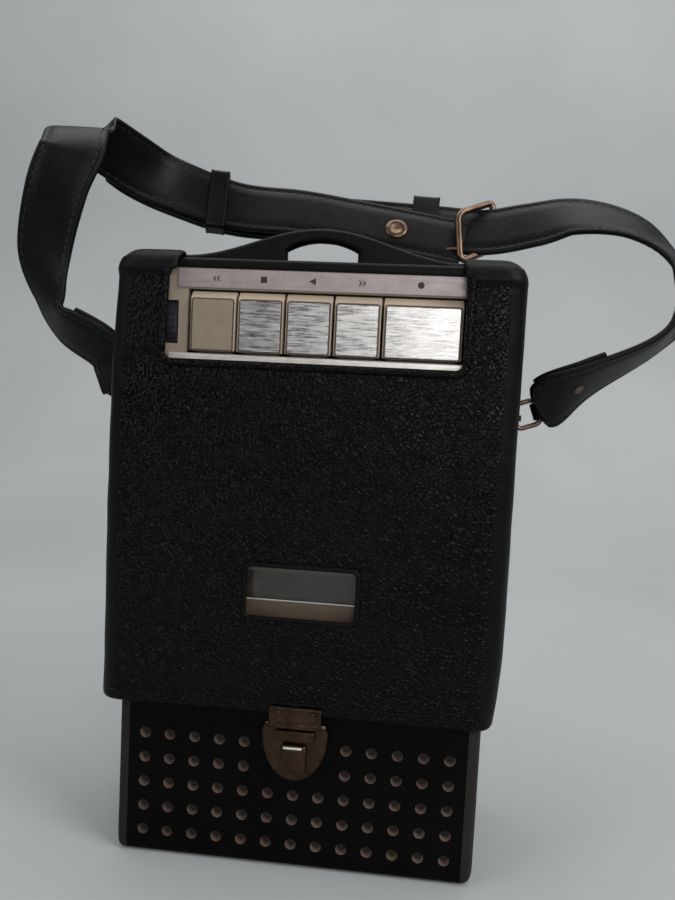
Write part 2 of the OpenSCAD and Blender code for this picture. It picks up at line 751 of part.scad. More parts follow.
module erase_head() {
    z0 = bridge_z0 - 2.2;
    color("#4a4a4c") block([10, bridge_y0 - 8, z0], [17, bridge_y0, z0 + 7]);
}

module pinch_roller() {
    color("#1f1f20") difference() {
        rod_y(capstan_x, roller_z, roller_r, bridge_y0 - 9, bridge_y0 - 0.8);
        rod_y(capstan_x, roller_z, 1 + run, bridge_y0 - 10, bridge_y0);
    }
}

// Cassette lid

module lid_pane(y0, y1) {
    upright(y0, y1) translate([0, window_z + 6]) rrect(64, 21, 2);
}

module cassette_lid() {
    color("#c8bba6") difference() {
        union() {
            block([-lid_w / 2, front_y, lid_z0], [lid_w / 2, panel_y, lid_z1]);
            rod_x(lid_pin_y, lid_pin_z, lid_pin_r, -lid_w / 2 - 3, lid_w / 2 + 3);
            block([-18, front_y - 1.2, lid_z1 - 4], [18, front_y + 0.1, lid_z1 - 1.5]);
        }
        lid_pane(front_y - 1, panel_y + 1);
    }
}

module lid_window() {
    color([0.55, 0.55, 0.55, 0.5]) lid_pane(front_y + 0.6, panel_y);
}

// Electronics and power

module circuit_board() {
    w = 2 * (post_x - post_r - 2.4);
    color("#7b5a2a") block([-w / 2, board_y, tray_z1 + 8], [w / 2, board_y + board_t, rec_z1 - wall - 3]);
}

module circuit_parts() {
    z = max(rec_z1 - 30, motor_z + 29);
    color("#3b4a6b") {
        for (i = [0:5]) rod_y(-40 + 15 * i, z, 4.6, board_y - 11, board_y);
        for (i = [0:6]) block([-46 + 14 * i, board_y - 6, z + 9], [-40 + 14 * i, board_y, z + 14]);
        block([22, board_y - 9, z - 22], [40, board_y, z - 8]);
        for (i = [0:3]) rod_y(-44 + 12 * i, z - 14, 3.2, board_y - 6, board_y);
    }
}

module battery_tray() {
    color("#4a4742") difference() {
        block([-tray_w / 2, tray_y0, tray_z0], [tray_w / 2, back_y - wall, tray_z1]);
        block([-tray_w / 2 + tray_t, tray_y0 + tray_t, tray_z0 + 0.6],
            [tray_w / 2 - tray_t, back_y, tray_z1 - tray_t]);
    }
}

module batteries() {
    color("#7d2f22") for (side = [-1, 1], row = [0:2]) {
        z = cell_z0 + row * cell_pitch_z;
        x0 = side > 0 ? 1 : -cell_len - 1;
        rod_x(cell_y, z, cell_r, x0, x0 + cell_len - 1.2);
        rod_x(cell_y, z, 3, x0 + cell_len - 1.3, x0 + cell_len);
    }
}

// Shoulder strap

// The end of the strap, rolled round the outer bar of its ring
module strap_end(side) {
    h = strap_end_w - 1;
    place = [side * ring_out.x, ring_out.y, ring_out.z];
    translate(place) rotate([0, -side * ring_tilt, 0]) difference() {
        union() {
            cylinder(r = sleeve_r, h = h * 0.7, center = true);
            translate([side * 2.6, 0, 0]) cube([5.2, strap_t, h * 0.7], center = true);
        }
        cylinder(r = ring_wire + 0.3, h = 2 * h, center = true);
    }
}

module strap_left() {
    color("#201e20") difference() {
        union() {
            band(left_route, true, false);
            strap_end(-1);
        }
        ring_space(-1);
    }
}

module strap_right() {
    color("#201e20") difference() {
        union() {
            band(right_route, false, true);
            strap_end(1);
        }
        ring_space(1);
    }
}

// Room in the strap's end for the ring
module ring_space(side) {
    translate([side * ring_out.x, ring_out.y, ring_out.z]) rotate([0, -side * ring_tilt, 0])
        cylinder(r = ring_wire + 0.3, h = 3 * strap_end_w, center = true);
}

module wire_frame(w, h, r, wire) {
    for (x = [-1, 1]) translate([x * w / 2, 0, 0]) rotate([90, 0, 0])
        cylinder(r = wire, h = h - 2 * r, center = true);
    for (y = [-1, 1]) translate([0, y * h / 2, 0]) rotate([0, 90, 0])
        cylinder(r = wire, h = w - 2 * r, center = true);
    for (x = [-1, 1], y = [-1, 1]) translate([x * (w / 2 - r), y * (h / 2 - r), 0])
        rotate([0, 0, x > 0 ? (y > 0 ? 0 : -90) : (y > 0 ? 90 : 180)])
            rotate_extrude(angle = 90) translate([r, 0]) circle(wire);
}

module strap_ring(side) {
    color("#b08d57") translate([side * ring_x, lug_y, lug_z]) rotate([0, -side * ring_tilt, 0])
        translate([side * ring_len / 2, 0, 0]) rotate([90, 0, 0])
            wire_frame(ring_len, ring_h, 2.4, ring_wire);
}

module ring_left() strap_ring(-1);
module ring_right() strap_ring(1);

// The lugs stand on the case's sides, and a swivel with an ear turns on each
module strap_lugs() {
    color("#9a8a68") for (side = [0, 180]) rotate([0, 0, side]) {
        y = side == 0 ? lug_y : -lug_y;
        rod_x(y, lug_z, 5, lug_x, lug_x + lug_flange);
        rod_x(y, lug_z, neck_r, lug_x, lug_x + lug_flange + neck_len);
    }
}

module swivel(side) {
    x0 = lug_x + lug_flange + clear;
    x1 = lug_x + lug_flange + neck_len + 0.6;
    color("#a5946e") mirror([side < 0 ? 1 : 0, 0, 0]) difference() {
        union() {
            rod_x(lug_y, lug_z, swivel_r, x0, x1);
            translate([0, lug_y, lug_z]) linear_extrude(2.4, center = true) union() {
                translate([x1 - 1, -3]) square([ear_len - 2, 6]);
                translate([ring_x, 0]) circle(3);
            }
        }
        rod_x(lug_y, lug_z, neck_r + run, x0 - 1, x1 - 0.5);
        translate([ring_x, lug_y, lug_z]) cylinder(r = ring_wire + 0.8, h = 20, center = true);
    }
}

module swivel_left() swivel(-1);
module swivel_right() swivel(1);

module strap_buckle() {
    color("#b5a27a") on_route(right_route, buckle_step) translate([0, 0, buckle_lift])
        wire_frame(buckle_len, strap_w + 6, 3, buckle_wire);
}

module buckle_prong() {
    lift = buckle_lift + buckle_wire + prong_r + 0.1;
    color("#c2b088") on_route(right_route, buckle_step) translate([-buckle_len / 2, 0, lift])
        rotate([0, 90, 0]) cylinder(r = prong_r, h = buckle_len);
}

// A loop with room for the turn that the strap makes inside it
module strap_keeper() {
    along = 8;
    band_t = 2;
    room_w = strap_w + 0.8;
    room_t = strap_t + 1.8;
    color("#201e20") on_route(left_route, keeper_step) difference() {
        cube([along, room_w + 2 * band_t, room_t + 2 * band_t], center = true);
        cube([along + 2, room_w, room_t], center = true);
    }
}

module strap_rivet(route, step, r) {
    on_route(route, step) translate([0, 0, rivet_lift]) cylinder(r = r, h = 1);
}

module strap_rivets() {
    color("#8a6a42") {
        strap_rivet(right_route, 1, 3.2);
        strap_rivet(left_route, end_rivet_step, 2.6);
        strap_rivet(right_route, route_steps * (len(right_route) - 1) - end_rivet_step, 2.6);
    }
}

case_shell();
carry_grip();
lock_shield();
strap_lugs();
rear_housing();
front_panel();
label_strip();
key_trim();
speaker_frame();
speaker_cone();
mech_chassis();
chassis_screws();
key_rod();
volume_pot();
motor();
drive_belt();
circuit_board();
circuit_parts();
battery_tray();
batteries();
battery_cover();
flap();
lock_plate();
flap_rivets();
lock_button();
key_rewind();
key_stop();
key_start();
key_forward();
key_record();
plate_rewind();
plate_stop();
plate_start();
plate_forward();
plate_record();
head_bridge();
sound_head();
erase_head();
pinch_roller();
flywheel();
motor_pulley();
supply_reel();
takeup_reel();
volume_wheel();
cassette_lid();
lid_window();
strap_left();
strap_right();
strap_buckle();
buckle_prong();
strap_keeper();
strap_rivets();
ring_left();
ring_right();
swivel_left();
swivel_right();
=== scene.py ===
import math

import bmesh
import bpy
from mathutils import Matrix, Vector, noise


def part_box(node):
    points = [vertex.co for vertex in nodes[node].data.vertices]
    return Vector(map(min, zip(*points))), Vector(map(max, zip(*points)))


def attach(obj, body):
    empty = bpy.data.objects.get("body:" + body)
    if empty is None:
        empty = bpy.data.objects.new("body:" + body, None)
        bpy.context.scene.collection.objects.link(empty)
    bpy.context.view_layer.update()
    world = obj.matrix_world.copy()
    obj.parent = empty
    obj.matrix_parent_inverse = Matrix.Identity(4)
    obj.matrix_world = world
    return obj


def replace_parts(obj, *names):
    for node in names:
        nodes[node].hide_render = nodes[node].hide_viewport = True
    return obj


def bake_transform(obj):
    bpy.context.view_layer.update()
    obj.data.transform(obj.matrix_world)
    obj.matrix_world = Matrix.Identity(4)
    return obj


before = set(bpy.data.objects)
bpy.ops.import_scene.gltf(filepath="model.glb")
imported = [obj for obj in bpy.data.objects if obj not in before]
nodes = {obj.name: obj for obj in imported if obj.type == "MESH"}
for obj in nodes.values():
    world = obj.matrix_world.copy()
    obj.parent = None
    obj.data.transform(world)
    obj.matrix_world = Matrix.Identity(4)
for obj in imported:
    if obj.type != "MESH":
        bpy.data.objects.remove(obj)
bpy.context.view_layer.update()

# Sizes are in millimetres, in the frame of the CAD part, and become metres where a mesh is made.
MM = 0.001
TINY = 1e-6


def corner(node):
    """A CAD node's lowest and highest corner in millimetres."""
    low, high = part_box(node)
    return low / MM, high / MM


# Sizes read from the frame
flap_low, flap_high = corner("flap")
case_low, case_high = corner("case_shell")
grip_high = corner("carry_grip")[1]
strip_low, strip_high = corner("label_strip")
shield_high = corner("lock_shield")[1]
lock_low, lock_high = corner("lock_plate")
button_low, button_high = corner("lock_button")
pane_low = corner("lid_window")[0]
LEATHER = 2.2
FLAP_HALF = flap_high.x
FLAP_FRONT = flap_low.y
FLAP_TOP = flap_high.z
FLAP_BOTTOM = flap_low.z
CASE_HALF = case_high.x
CASE_FRONT = case_low.y
CASE_BACK = case_high.y
TOP_PANEL = case_high.z + LEATHER
KEYS = ("rewind", "stop", "start", "forward", "record")

# Meshes

SEAM = 0.02
FINE_SEAM = 0.001


def clamp(value, low, high):
    return max(low, min(high, value))


def ease(u):
    """A smooth step from 0 to 1."""
    u = clamp(u, 0.0, 1.0)
    return u * u * (3 - 2 * u)


def adopt(name, mesh, body, mat, slot=None, smooth=True):
    """An object of a finished mesh, riding on a CAD body."""
    obj = bpy.data.objects.new(name, mesh)
    bpy.context.scene.collection.objects.link(obj)
    mesh.polygons.foreach_set("use_smooth", [smooth] * len(mesh.polygons))
    mesh.materials.append(mat)
    if body:
        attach(obj, body)
    return obj


def place(name, verts, faces, body, mat, slot=None, smooth=True):
    """A piece from points in millimetres."""
    mesh = bpy.data.meshes.new(name)
    mesh.from_pydata([Vector(v) * MM for v in verts], [], faces)
    mesh.validate()
    return adopt(name, mesh, body, mat, slot, smooth)


def weld(obj, distance=SEAM):
    """Joins the points of a mesh that lie in one place and turns its faces outwards."""
    bm = bmesh.new()
    bm.from_mesh(obj.data)
    bmesh.ops.remove_doubles(bm, verts=bm.verts, dist=distance * MM)
    bmesh.ops.recalc_face_normals(bm, faces=bm.faces)
    bm.to_mesh(obj.data)
    bm.free()
    return obj


def spaced(stops, step):
    """Values through all the stops, at most one step apart."""
    values = []
    for a, b in zip(stops, stops[1:]):
        count = max(1, math.ceil((b - a) / step - TINY))
        values += [a + (b - a) * i / count for i in range(count)]
    return values + [stops[-1]]


def grid(us, vs, point, keep=lambda u, v: True):
    """Points and quads of a surface over two lists of values; keep() says which quads exist."""
    verts = [point(u, v) for v in vs for u in us]
    n = len(us)
    faces = []
    for j in range(len(vs) - 1):
        for i in range(n - 1):
            if keep((us[i] + us[i + 1]) / 2, (vs[j] + vs[j + 1]) / 2):
                a = j * n + i
                faces.append((a, a + 1, a + n + 1, a + n))
    return verts, faces


def join_lists(parts):
    """Several (points, faces) as one."""
    verts, faces = [], []
    for v, f in parts:
        base = len(verts)
        verts += v
        faces += [tuple(i + base for i in face) for face in f]
    return verts, faces


def stack_rings(rings, capped=False, closed=False):
    """Quads between rings of points that follow each other; closed joins the last to the first."""
    n, count = len(rings[0]), len(rings)
    verts = [p for ring in rings for p in ring]
    faces = []
    for k in range(count if closed else count - 1):
        below, above = k * n, (k + 1) % count * n
        for i in range(n):
            j = (i + 1) % n
            faces.append((below + i, below + j, above + j, above + i))
    if capped:
        faces += [tuple(reversed(range(n))), tuple(range(len(verts) - n, len(verts)))]
    return verts, faces


def circle(radius, count):
    """Points (u, v) round a circle."""
    turns = [2 * math.pi * i / count for i in range(count)]
    return [(radius * math.cos(a), radius * math.sin(a)) for a in turns]


def quarter(cx, cv, radius, start, count=6):
    """Points (u, v) along a quarter of a circle from a start angle in degrees."""
    turns = [math.radians(start + 90 * k / count) for k in range(count + 1)]
    return [(cx + radius * math.cos(a), cv + radius * math.sin(a)) for a in turns]


def plate_outline(w, h, r):
    """A rectangle with round corners round its own middle."""
    line = []
    for u, v, start in ((1, -1, 270), (1, 1, 0), (-1, 1, 90), (-1, -1, 180)):
        line += quarter(u * (w / 2 - r), v * (h / 2 - r), r, start)
    return line


def frames_along(spots, closed=False):
    """Frames (point, side, out) along a line of (point, outward direction)."""
    path = []
    n = len(spots)
    for i, (p, out) in enumerate(spots):
        before = spots[i - 1][0] if closed or i else p
        after = spots[(i + 1) % n][0] if closed or i < n - 1 else p
        along = (after - before).normalized()
        side = along.cross(out).normalized()
        path.append((p, side, side.cross(along).normalized()))
    return path


def sweep(spots, section, closed=False):
    """A section of (side, out) offsets along a line of (point, outward direction)."""
    rings = [[p + side * s + out * o for s, o in section] for p, side, out in frames_along(spots, closed)]
    return stack_rings(rings, capped=not closed, closed=closed)


def swept(name, spots, section, body, mat, slot=None, closed=False, smooth=True):
    """A piece with one section along its whole line."""
    return weld(place(name, *sweep(spots, section, closed), body, mat, slot, smooth), FINE_SEAM)


def solid(name, rings, body, mat, slot=None, crease=None, smooth=True):
    """A closed piece through rings of points; edges that turn by more than the crease stay sharp."""
    obj = weld(place(name, *stack_rings(rings, capped=True), body, mat, slot, smooth), FINE_SEAM)
    if crease:
        obj.data.set_sharp_from_angle(angle=math.radians(crease))
    return obj


def modifier(obj, kind, **values):
    m = obj.modifiers.new(kind.lower(), kind)
    for key, value in values.items():
        setattr(m, key, value)


def subdivide(obj):
    modifier(obj, "SUBSURF", levels=1, render_levels=1)


def thicken(obj, thickness):
    """Gives a leather sheet its thickness inwards and soft edges."""
    modifier(obj, "SOLIDIFY", thickness=thickness * MM, offset=-1)
    subdivide(obj)


def paint(obj, mat, where):
    """Gives the faces whose middle (in millimetres) is chosen by where() another material."""
    obj.data.materials.append(mat)
    for face in obj.data.polygons:
        if where(face.center / MM):
            face.material_index = len(obj.data.materials) - 1


def inside(p, low, high, radius):
    """The point nearest to p that keeps a radius away from a box's sides."""
    return Vector([clamp(c, lo + radius, hi - radius) for c, lo, hi in zip(p, low, high)])


def round_box(p, low, high, radius):
    """A point of a box's surface moved onto the same box with round edges."""
    inner = inside(p, low, high, radius)
    away = Vector(p) - inner
    reach = radius if sum(abs(c) > TINY for c in away) > 1 else away.length
    return inner + away.normalized() * reach


# Materials


class Look:
    """A procedural material while it is being put together."""

    def __init__(self, name):
        self.mat = bpy.data.materials.new(name)
        self.mat.use_nodes = True
        self.nodes = self.mat.node_tree.nodes
        self.links = self.mat.node_tree.links
        self.shader = self.nodes["Principled BSDF"]

    def coordinates(self, scale=(1, 1, 1)):
        where = self.nodes.new("ShaderNodeTexCoord")
        stretch = self.nodes.new("ShaderNodeMapping")
        stretch.inputs["Scale"].default_value = scale
        self.links.new(where.outputs["Object"], stretch.inputs["Vector"])
        return stretch.outputs["Vector"]

    def texture(self, kind, at, **inputs):
        node = self.nodes.new(kind)
        for key, value in inputs.items():
            node.inputs[key].default_value = value
        self.links.new(at, node.inputs["Vector"])
        return node

    def noise(self, at, scale, detail, **inputs):
        return self.texture("ShaderNodeTexNoise", at, Scale=scale, Detail=detail, **inputs).outputs["Fac"]

    def multiply_add(self, kind, value, factor, base):
        node = self.nodes.new(kind)
        node.operation = "MULTIPLY_ADD"
        node.inputs[1].default_value = factor
        self.links.new(value, node.inputs[0])
        self.links.new(base, node.inputs[2])
        return node.outputs[0]

    def multiply(self, a, b):
        """Two colours multiplied."""
        mix = self.nodes.new("ShaderNodeMix")
        mix.data_type = "RGBA"
        mix.blend_type = "MULTIPLY"
        mix.inputs["Factor"].default_value = 1.0
        self.links.new(a, mix.inputs["A"])
        self.links.new(b, mix.inputs["B"])
        return mix.outputs["Result"]

    def ramp(self, source, *stops):
        """Colours, or greys given as one number, over the values of a texture."""
        node = self.nodes.new("ShaderNodeValToRGB")
        elements = node.color_ramp.elements
        while len(elements) < len(stops):
            elements.new(0.5)
        for element, (at, tone) in zip(elements, stops):
            element.position = at
            element.color = (*tone, 1) if isinstance(tone, tuple) else (tone, tone, tone, 1)
        self.links.new(source, node.inputs["Fac"])
        return node.outputs["Color"]

    def feed(self, socket, source):
        self.links.new(source, self.shader.inputs[socket])

    def vary(self, socket, source, *stops):
        """Lets a texture change one of the shader's values over the surface."""
        self.feed(socket, self.ramp(source, *stops))

    def bump(self, height, strength, depth):
        node = self.nodes.new("ShaderNodeBump")
        node.inputs["Strength"].default_value = strength
        node.inputs["Distance"].default_value = depth * MM
        self.links.new(height, node.inputs["Height"])
        self.feed("Normal", node.outputs["Normal"])

    def fix(self, socket, value):
        """Sets what is the same all over the surface."""
        self.shader.inputs[socket].default_value = value


def leather(name, dark, light, rough, grain, depth, shine, crease=0.0):
    """Leather with a pebbled grain, finer pores and patches that are more or less worn."""
    look = Look(name)
    at = look.coordinates()
    warp = look.texture("ShaderNodeTexNoise", at, Scale=grain * 0.35, Detail=3.0)
    warped = look.multiply_add("ShaderNodeVectorMath", warp.outputs["Color"], (1.6 / grain,) * 3, at)
    cells = look.texture("ShaderNodeTexVoronoi", warped, Scale=grain)
    cells.feature = "DISTANCE_TO_EDGE"
    pebbles = look.ramp(cells.outputs["Distance"], (0.0, 0), (0.22, 0.8), (0.5, 1))
    pores = look.noise(at, grain * 2.6, 4.0, Roughness=0.6)
    height = look.multiply_add("ShaderNodeMath", pores, 0.45, pebbles)
    if crease:
        folds = look.noise(look.coordinates((0.35, 1.0, 1.5)), 90.0, 5.0, Roughness=0.7, Distortion=0.6)
        lines = look.ramp(folds, (0.44, 1), (0.5, 0), (0.56, 1))
        height = look.multiply_add("ShaderNodeMath", lines, crease, height)
    look.bump(height, 0.75, depth)
    patches = look.noise(at, 26.0, 4.0, Roughness=0.55)
    look.vary("Base Color", patches, (0.3, dark), (0.75, light))
    look.vary("Roughness", patches, (0.3, rough), (0.7, rough + 0.14))
    look.fix("Specular IOR Level", shine)
    return look.mat


def plastic(name, base, rough, speck=0.06, grain=900.0, depth=0.03):
    """Moulded plastic with a faint texture and slightly uneven colour."""
    look = Look(name)
    at = look.coordinates()
    blotch = look.noise(at, 45.0, 5.0)
    low = tuple(c * (1 - speck) for c in base)
    high = tuple(min(1, c * (1 + speck)) for c in base)
    look.vary("Base Color", blotch, (0.3, low), (0.7, high))
    look.vary("Roughness", blotch, (0.3, rough), (0.7, rough + 0.1))
    look.bump(look.noise(at, grain, 2.0), 0.4, depth)
    return look.mat


def metal(name, base, stain, rough, streak, scale, depth, brush, metallic=1.0):
    """Metal with brush lines or fine scratches, and tarnish in patches."""
    look = Look(name)
    lines = look.noise(look.coordinates(streak), scale, 6.0, Roughness=0.65)
    spots = look.noise(look.coordinates(), 170.0, 6.0, Roughness=0.7)
    tarnish = look.ramp(spots, (0.42, base), (0.7, stain))
    strokes = look.ramp(lines, (0.36, 1 - brush), (0.6, 1))
    look.feed("Base Color", look.multiply(tarnish, strokes))
    look.vary("Roughness", lines, (0.3, rough), (0.7, rough + 0.22))
    look.bump(lines, 0.5, depth)
    look.fix("Metallic", metallic)
    return look.mat


def hazy_glass():
    """The clear but slightly hazy plastic of the cassette window."""
    look = Look("window_glass")
    look.vary("Roughness", look.noise(look.coordinates(), 60.0, 6.0), (0.35, 0.06), (0.7, 0.16))
    look.fix("Base Color", (0.28, 0.26, 0.23, 1))
    look.fix("Transmission Weight", 0.92)
    look.fix("IOR", 1.49)
    look.fix("Specular IOR Level", 0.25)
    return look.mat


EVEN = (1, 1, 1)
ACROSS = (0.3, 1, 6)
flap_leather = leather("flap_leather", (0.0005, 0.0005, 0.0006), (0.0012, 0.0011, 0.0011),
                       0.13, 600.0, 0.3, 0.1, crease=0.3)
case_leather = leather("case_leather", (0.0008, 0.0008, 0.0008), (0.002, 0.0018, 0.0017),
                       0.42, 640.0, 0.2, 0.05)
smooth_leather = leather("smooth_leather", (0.0015, 0.0014, 0.0014), (0.0036, 0.0032, 0.003),
                         0.38, 900.0, 0.06, 0.1)
strap_leather = leather("strap_leather", (0.0014, 0.0014, 0.0015), (0.0036, 0.0034, 0.0034),
                        0.32, 1000.0, 0.06, 0.13)
worn_edge = leather("worn_edge", (0.006, 0.006, 0.0062), (0.022, 0.02, 0.018), 0.5, 800.0, 0.12, 0.15)
raw_edge = leather("raw_edge", (0.08, 0.051, 0.04), (0.16, 0.108, 0.088), 0.7, 1400.0, 0.12, 0.15)
thread = plastic("thread", (0.008, 0.008, 0.008), 0.6, 0.3, 2500.0, 0.1)
key_plastic = plastic("key_plastic", (0.38, 0.3, 0.225), 0.42)
# Beige plastic, darker than the keys partly as painted shade beside the keys
panel_beige_and_shade = plastic("panel_beige_and_shade", (0.3, 0.24, 0.185), 0.5)
cream_plastic = plastic("cream_plastic", (0.66, 0.6, 0.47), 0.45)
# The keys' beige, darkened as painted shade for the lid deep inside the flap's opening
lid_beige_in_shade = plastic("lid_beige_in_shade", (0.08, 0.056, 0.036), 0.4, 0.12)
# Grey band along the top of the window: painted reflection of light on the pane
pane_reflection_grey = plastic("pane_reflection_grey", (0.07, 0.065, 0.06), 0.35)
dark_plastic = plastic("dark_plastic", (0.03, 0.03, 0.032), 0.5)
wheel_plastic = plastic("wheel_plastic", (0.022, 0.02, 0.026), 0.35)
rubber = plastic("rubber", (0.015, 0.015, 0.015), 0.8, 0.2)
cone_paper = plastic("cone_paper", (0.05, 0.045, 0.04), 0.85, 0.3, 1500.0, 0.2)
board = plastic("board", (0.3, 0.19, 0.07), 0.5, 0.15)
part_mix = plastic("part_mix", (0.09, 0.13, 0.27), 0.4, 0.3)
cell_paint = plastic("cell_paint", (0.35, 0.07, 0.05), 0.35, 0.15)
plate_line = plastic("plate_line", (0.06, 0.04, 0.028), 0.6, 0.2)
ink = plastic("ink", (0.012, 0.01, 0.01), 0.55, 0.2)
# Near-black sheet behind the holes: painted shade in place of the shaded panel seen through them
hole_shade_black = plastic("hole_shade_black", (0.02, 0.016, 0.014), 0.85, 0.2, 1400.0, 0.2)
brushed = metal("brushed", (0.66, 0.64, 0.63), (0.55, 0.52, 0.5),
                0.2, (0.7, 1, 8), 210.0, 0.12, 0.6, 0.95)
matt_plate = metal("matt_plate", (0.25, 0.2, 0.14), (0.22, 0.175, 0.12),
                   0.5, (1, 1, 2), 300.0, 0.01, 0.06, 0.2)
strip_metal = metal("strip_metal", (0.35, 0.3, 0.295), (0.29, 0.245, 0.235),
                    0.36, ACROSS, 200.0, 0.01, 0.1, 0.4)
# Bright trim, also used for painted glints on the window's pane and the lock's tab
trim_metal = metal("trim_metal", (0.78, 0.74, 0.7), (0.62, 0.57, 0.52),
                   0.26, ACROSS, 260.0, 0.01, 0.1, 0.45)
# Dark bronze nickel, its base darkened further as painted shade and a painted reflection of dark
# surroundings
lock_metal = metal("lock_metal", (0.07, 0.044, 0.029), (0.035, 0.021, 0.014), 0.2, EVEN, 500.0, 0.02, 0.15)
old_brass = metal("old_brass", (0.17, 0.112, 0.078), (0.07, 0.044, 0.03), 0.26, EVEN, 420.0, 0.02, 0.2)
steel = metal("steel", (0.5, 0.5, 0.48), (0.38, 0.36, 0.32), 0.35, (1, 1, 4), 200.0, 0.01, 0.15)
window_glass = hazy_glass()

# CAD nodes that keep their own shape

DRESS = (
    (panel_beige_and_shade, ["front_panel"]),
    (lid_beige_in_shade, ["cassette_lid"]),
    (key_plastic, [f"key_{key}" for key in KEYS]),
    (strip_metal, ["label_strip"]),
    (trim_metal, ["key_trim"]),
    (dark_plastic, ["rear_housing", "battery_cover", "battery_tray", "erase_head"]),
    (wheel_plastic, ["volume_wheel"]),
    (lock_metal, ["flap_rivets"]),
    (old_brass, ["strap_lugs", "swivel_left", "swivel_right", "ring_left", "ring_right", "motor_pulley"]),
    (steel, ["mech_chassis", "chassis_screws", "key_rod", "head_bridge", "sound_head", "flywheel", "motor",
             "speaker_frame"]),
    (rubber, ["drive_belt", "pinch_roller"]),
    (cone_paper, ["speaker_cone"]),
    (board, ["circuit_board"]),
    (part_mix, ["circuit_parts", "volume_pot"]),
    (cell_paint, ["batteries"]),
    (cream_plastic, ["supply_reel", "takeup_reel"]),
    (window_glass, ["lid_window"]),
)
BEVEL = {"front_panel": 0.3, "cassette_lid": 0.4, "label_strip": 0.2, "key_trim": 0.4, "battery_cover": 0.4,
         "flap_rivets": 0.3, **{f"key_{key}": 0.5 for key in KEYS}}
SMOOTH_ANGLE = math.radians(32)
BEVEL_ANGLE = math.radians(35)
FLAT_ANGLE = math.radians(1)
WELD_M = 1e-5


def soften(node, width):
    """Round edges for a CAD node, on top of its own mesh."""
    modifier(node, "WELD", merge_threshold=WELD_M)
    modifier(node, "DECIMATE", decimate_type="DISSOLVE", angle_limit=FLAT_ANGLE)
    modifier(node, "BEVEL", width=width * MM, segments=3, limit_method="ANGLE", angle_limit=BEVEL_ANGLE)
    modifier(node, "WEIGHTED_NORMAL", weight=100, keep_sharp=False)


def dress_nodes():
    """Each carried-over CAD node gets its material, smooth round faces and softened edges."""
    for mat, names in DRESS:
        for name in names:
            mesh = nodes[name].data
            mesh.materials.clear()
            mesh.materials.append(mat)
            mesh.polygons.foreach_set("use_smooth", [True] * len(mesh.polygons))
            mesh.set_sharp_from_angle(angle=SMOOTH_ANGLE)
            if name in BEVEL:
                soften(nodes[name], BEVEL[name])


# Flap

FLAP_ROUND = 9.0
FLAP_SPLIT_Y = 20.0
FLAP_STEP = 2.4
FLAP_BOX = ((-FLAP_HALF, FLAP_FRONT, -math.inf), (FLAP_HALF, math.inf, FLAP_TOP))
# How the right side is drawn in towards the bottom, and the left side hangs slack
DRAWN_IN = 2.2
DRAWN_H = 34.0
SLACK = 2.0
SLACK_Z = 228.0
SLACK_H = 48.0
# The rolls on the two ears beside the key cut-out, and how far they spread into it
ROLL_H = 10.5
ROLL_FOOT = FLAP_TOP - ROLL_H
ROLL_STEP = 1.6
ROLL_LIFT = 1.1
ROLL_GRID = 0.8
EAR_REACH = 9.0
EAR_RISE = 3.0
EAR_LEFT = 3.4
EAR_RIGHT = 1.6
EAR_BACK = 0.5
CUT_HALF = 54.0
CUT_Z = 193.0
CUT_BACK_Y = FLAP_FRONT + 24.0
# Rows of points close to an edge, which keep it crisp where the mesh is subdivided
CUT_HOLD_Y = CUT_BACK_Y + 0.6
ROLL_HOLD_Z = ROLL_FOOT - 1.0
WINDOW_HALF = 20.5
WINDOW_Z0 = 98.6
WINDOW_Z1 = 118.0
# Wear: bulges and dents of used leather, as (height, width) of two waves
WEAR_WAVES = ((0.5, 34), (0.22, 11))
WEAR_LIMIT = 0.5
WEAR_HALF = 60.0
WEAR_Z = 215.0
SMOOTH_PAST_ROLL = 0.4
SMOOTH_PAST_SIDE = 1.3
# The fold over the upper rear edge
FOLD_TAIL = 34.0
FOLD_R = 2.6
FOLD_BACK = CASE_BACK + LEATHER + 0.2
FOLD_BEND_Y = FOLD_BACK - FOLD_R
FOLD_NARROW = 0.955
FOLD_STEP = 1.2


def hand_worn(p):
    """How far worn leather stands out of its plane at a point, in millimetres."""
    return sum(height * noise.noise(p / width) for height, width in WEAR_WAVES)


def slack_at(z):
    return SLACK * ease((SLACK_Z - z) / SLACK_H)


def side_pull(x, z):
    """How far the flap's side stands out on the left, or is drawn in on the right."""
    low = max(0.0, (FLAP_BOTTOM + DRAWN_H - z) / DRAWN_H)
    return -DRAWN_IN * low * low if x > 0 else slack_at(z)


def ear_spread(x, y, z):
    """How far the roll of an ear reaches into the cut-out."""
    beside = (abs(x) - CUT_HALF) / EAR_REACH
    if not 0 <= beside < 1 or z <= ROLL_FOOT:
        return 0.0
    fade = max(EAR_BACK, ease((FLAP_FRONT + 2 * FLAP_ROUND - y) / FLAP_ROUND))
    spread = EAR_LEFT if x < 0 else EAR_RIGHT
    return math.copysign(spread * ease((z - ROLL_FOOT) / EAR_RISE) * fade * (1 - beside), x)


def wear_direction(p, x, y, z):
    """The way in which worn leather stands out of the flap."""
    if y > FLAP_FRONT + FLAP_ROUND and abs(x) < FLAP_HALF - FLAP_ROUND:
        return Vector((0, 0, 1))
    if abs(x) < WEAR_HALF and z < FLAP_TOP - FLAP_ROUND:
        return Vector((0, -1, 0))
    return (p - Vector((clamp(x, -WEAR_HALF, WEAR_HALF), 0, min(WEAR_Z, z)))).normalized()


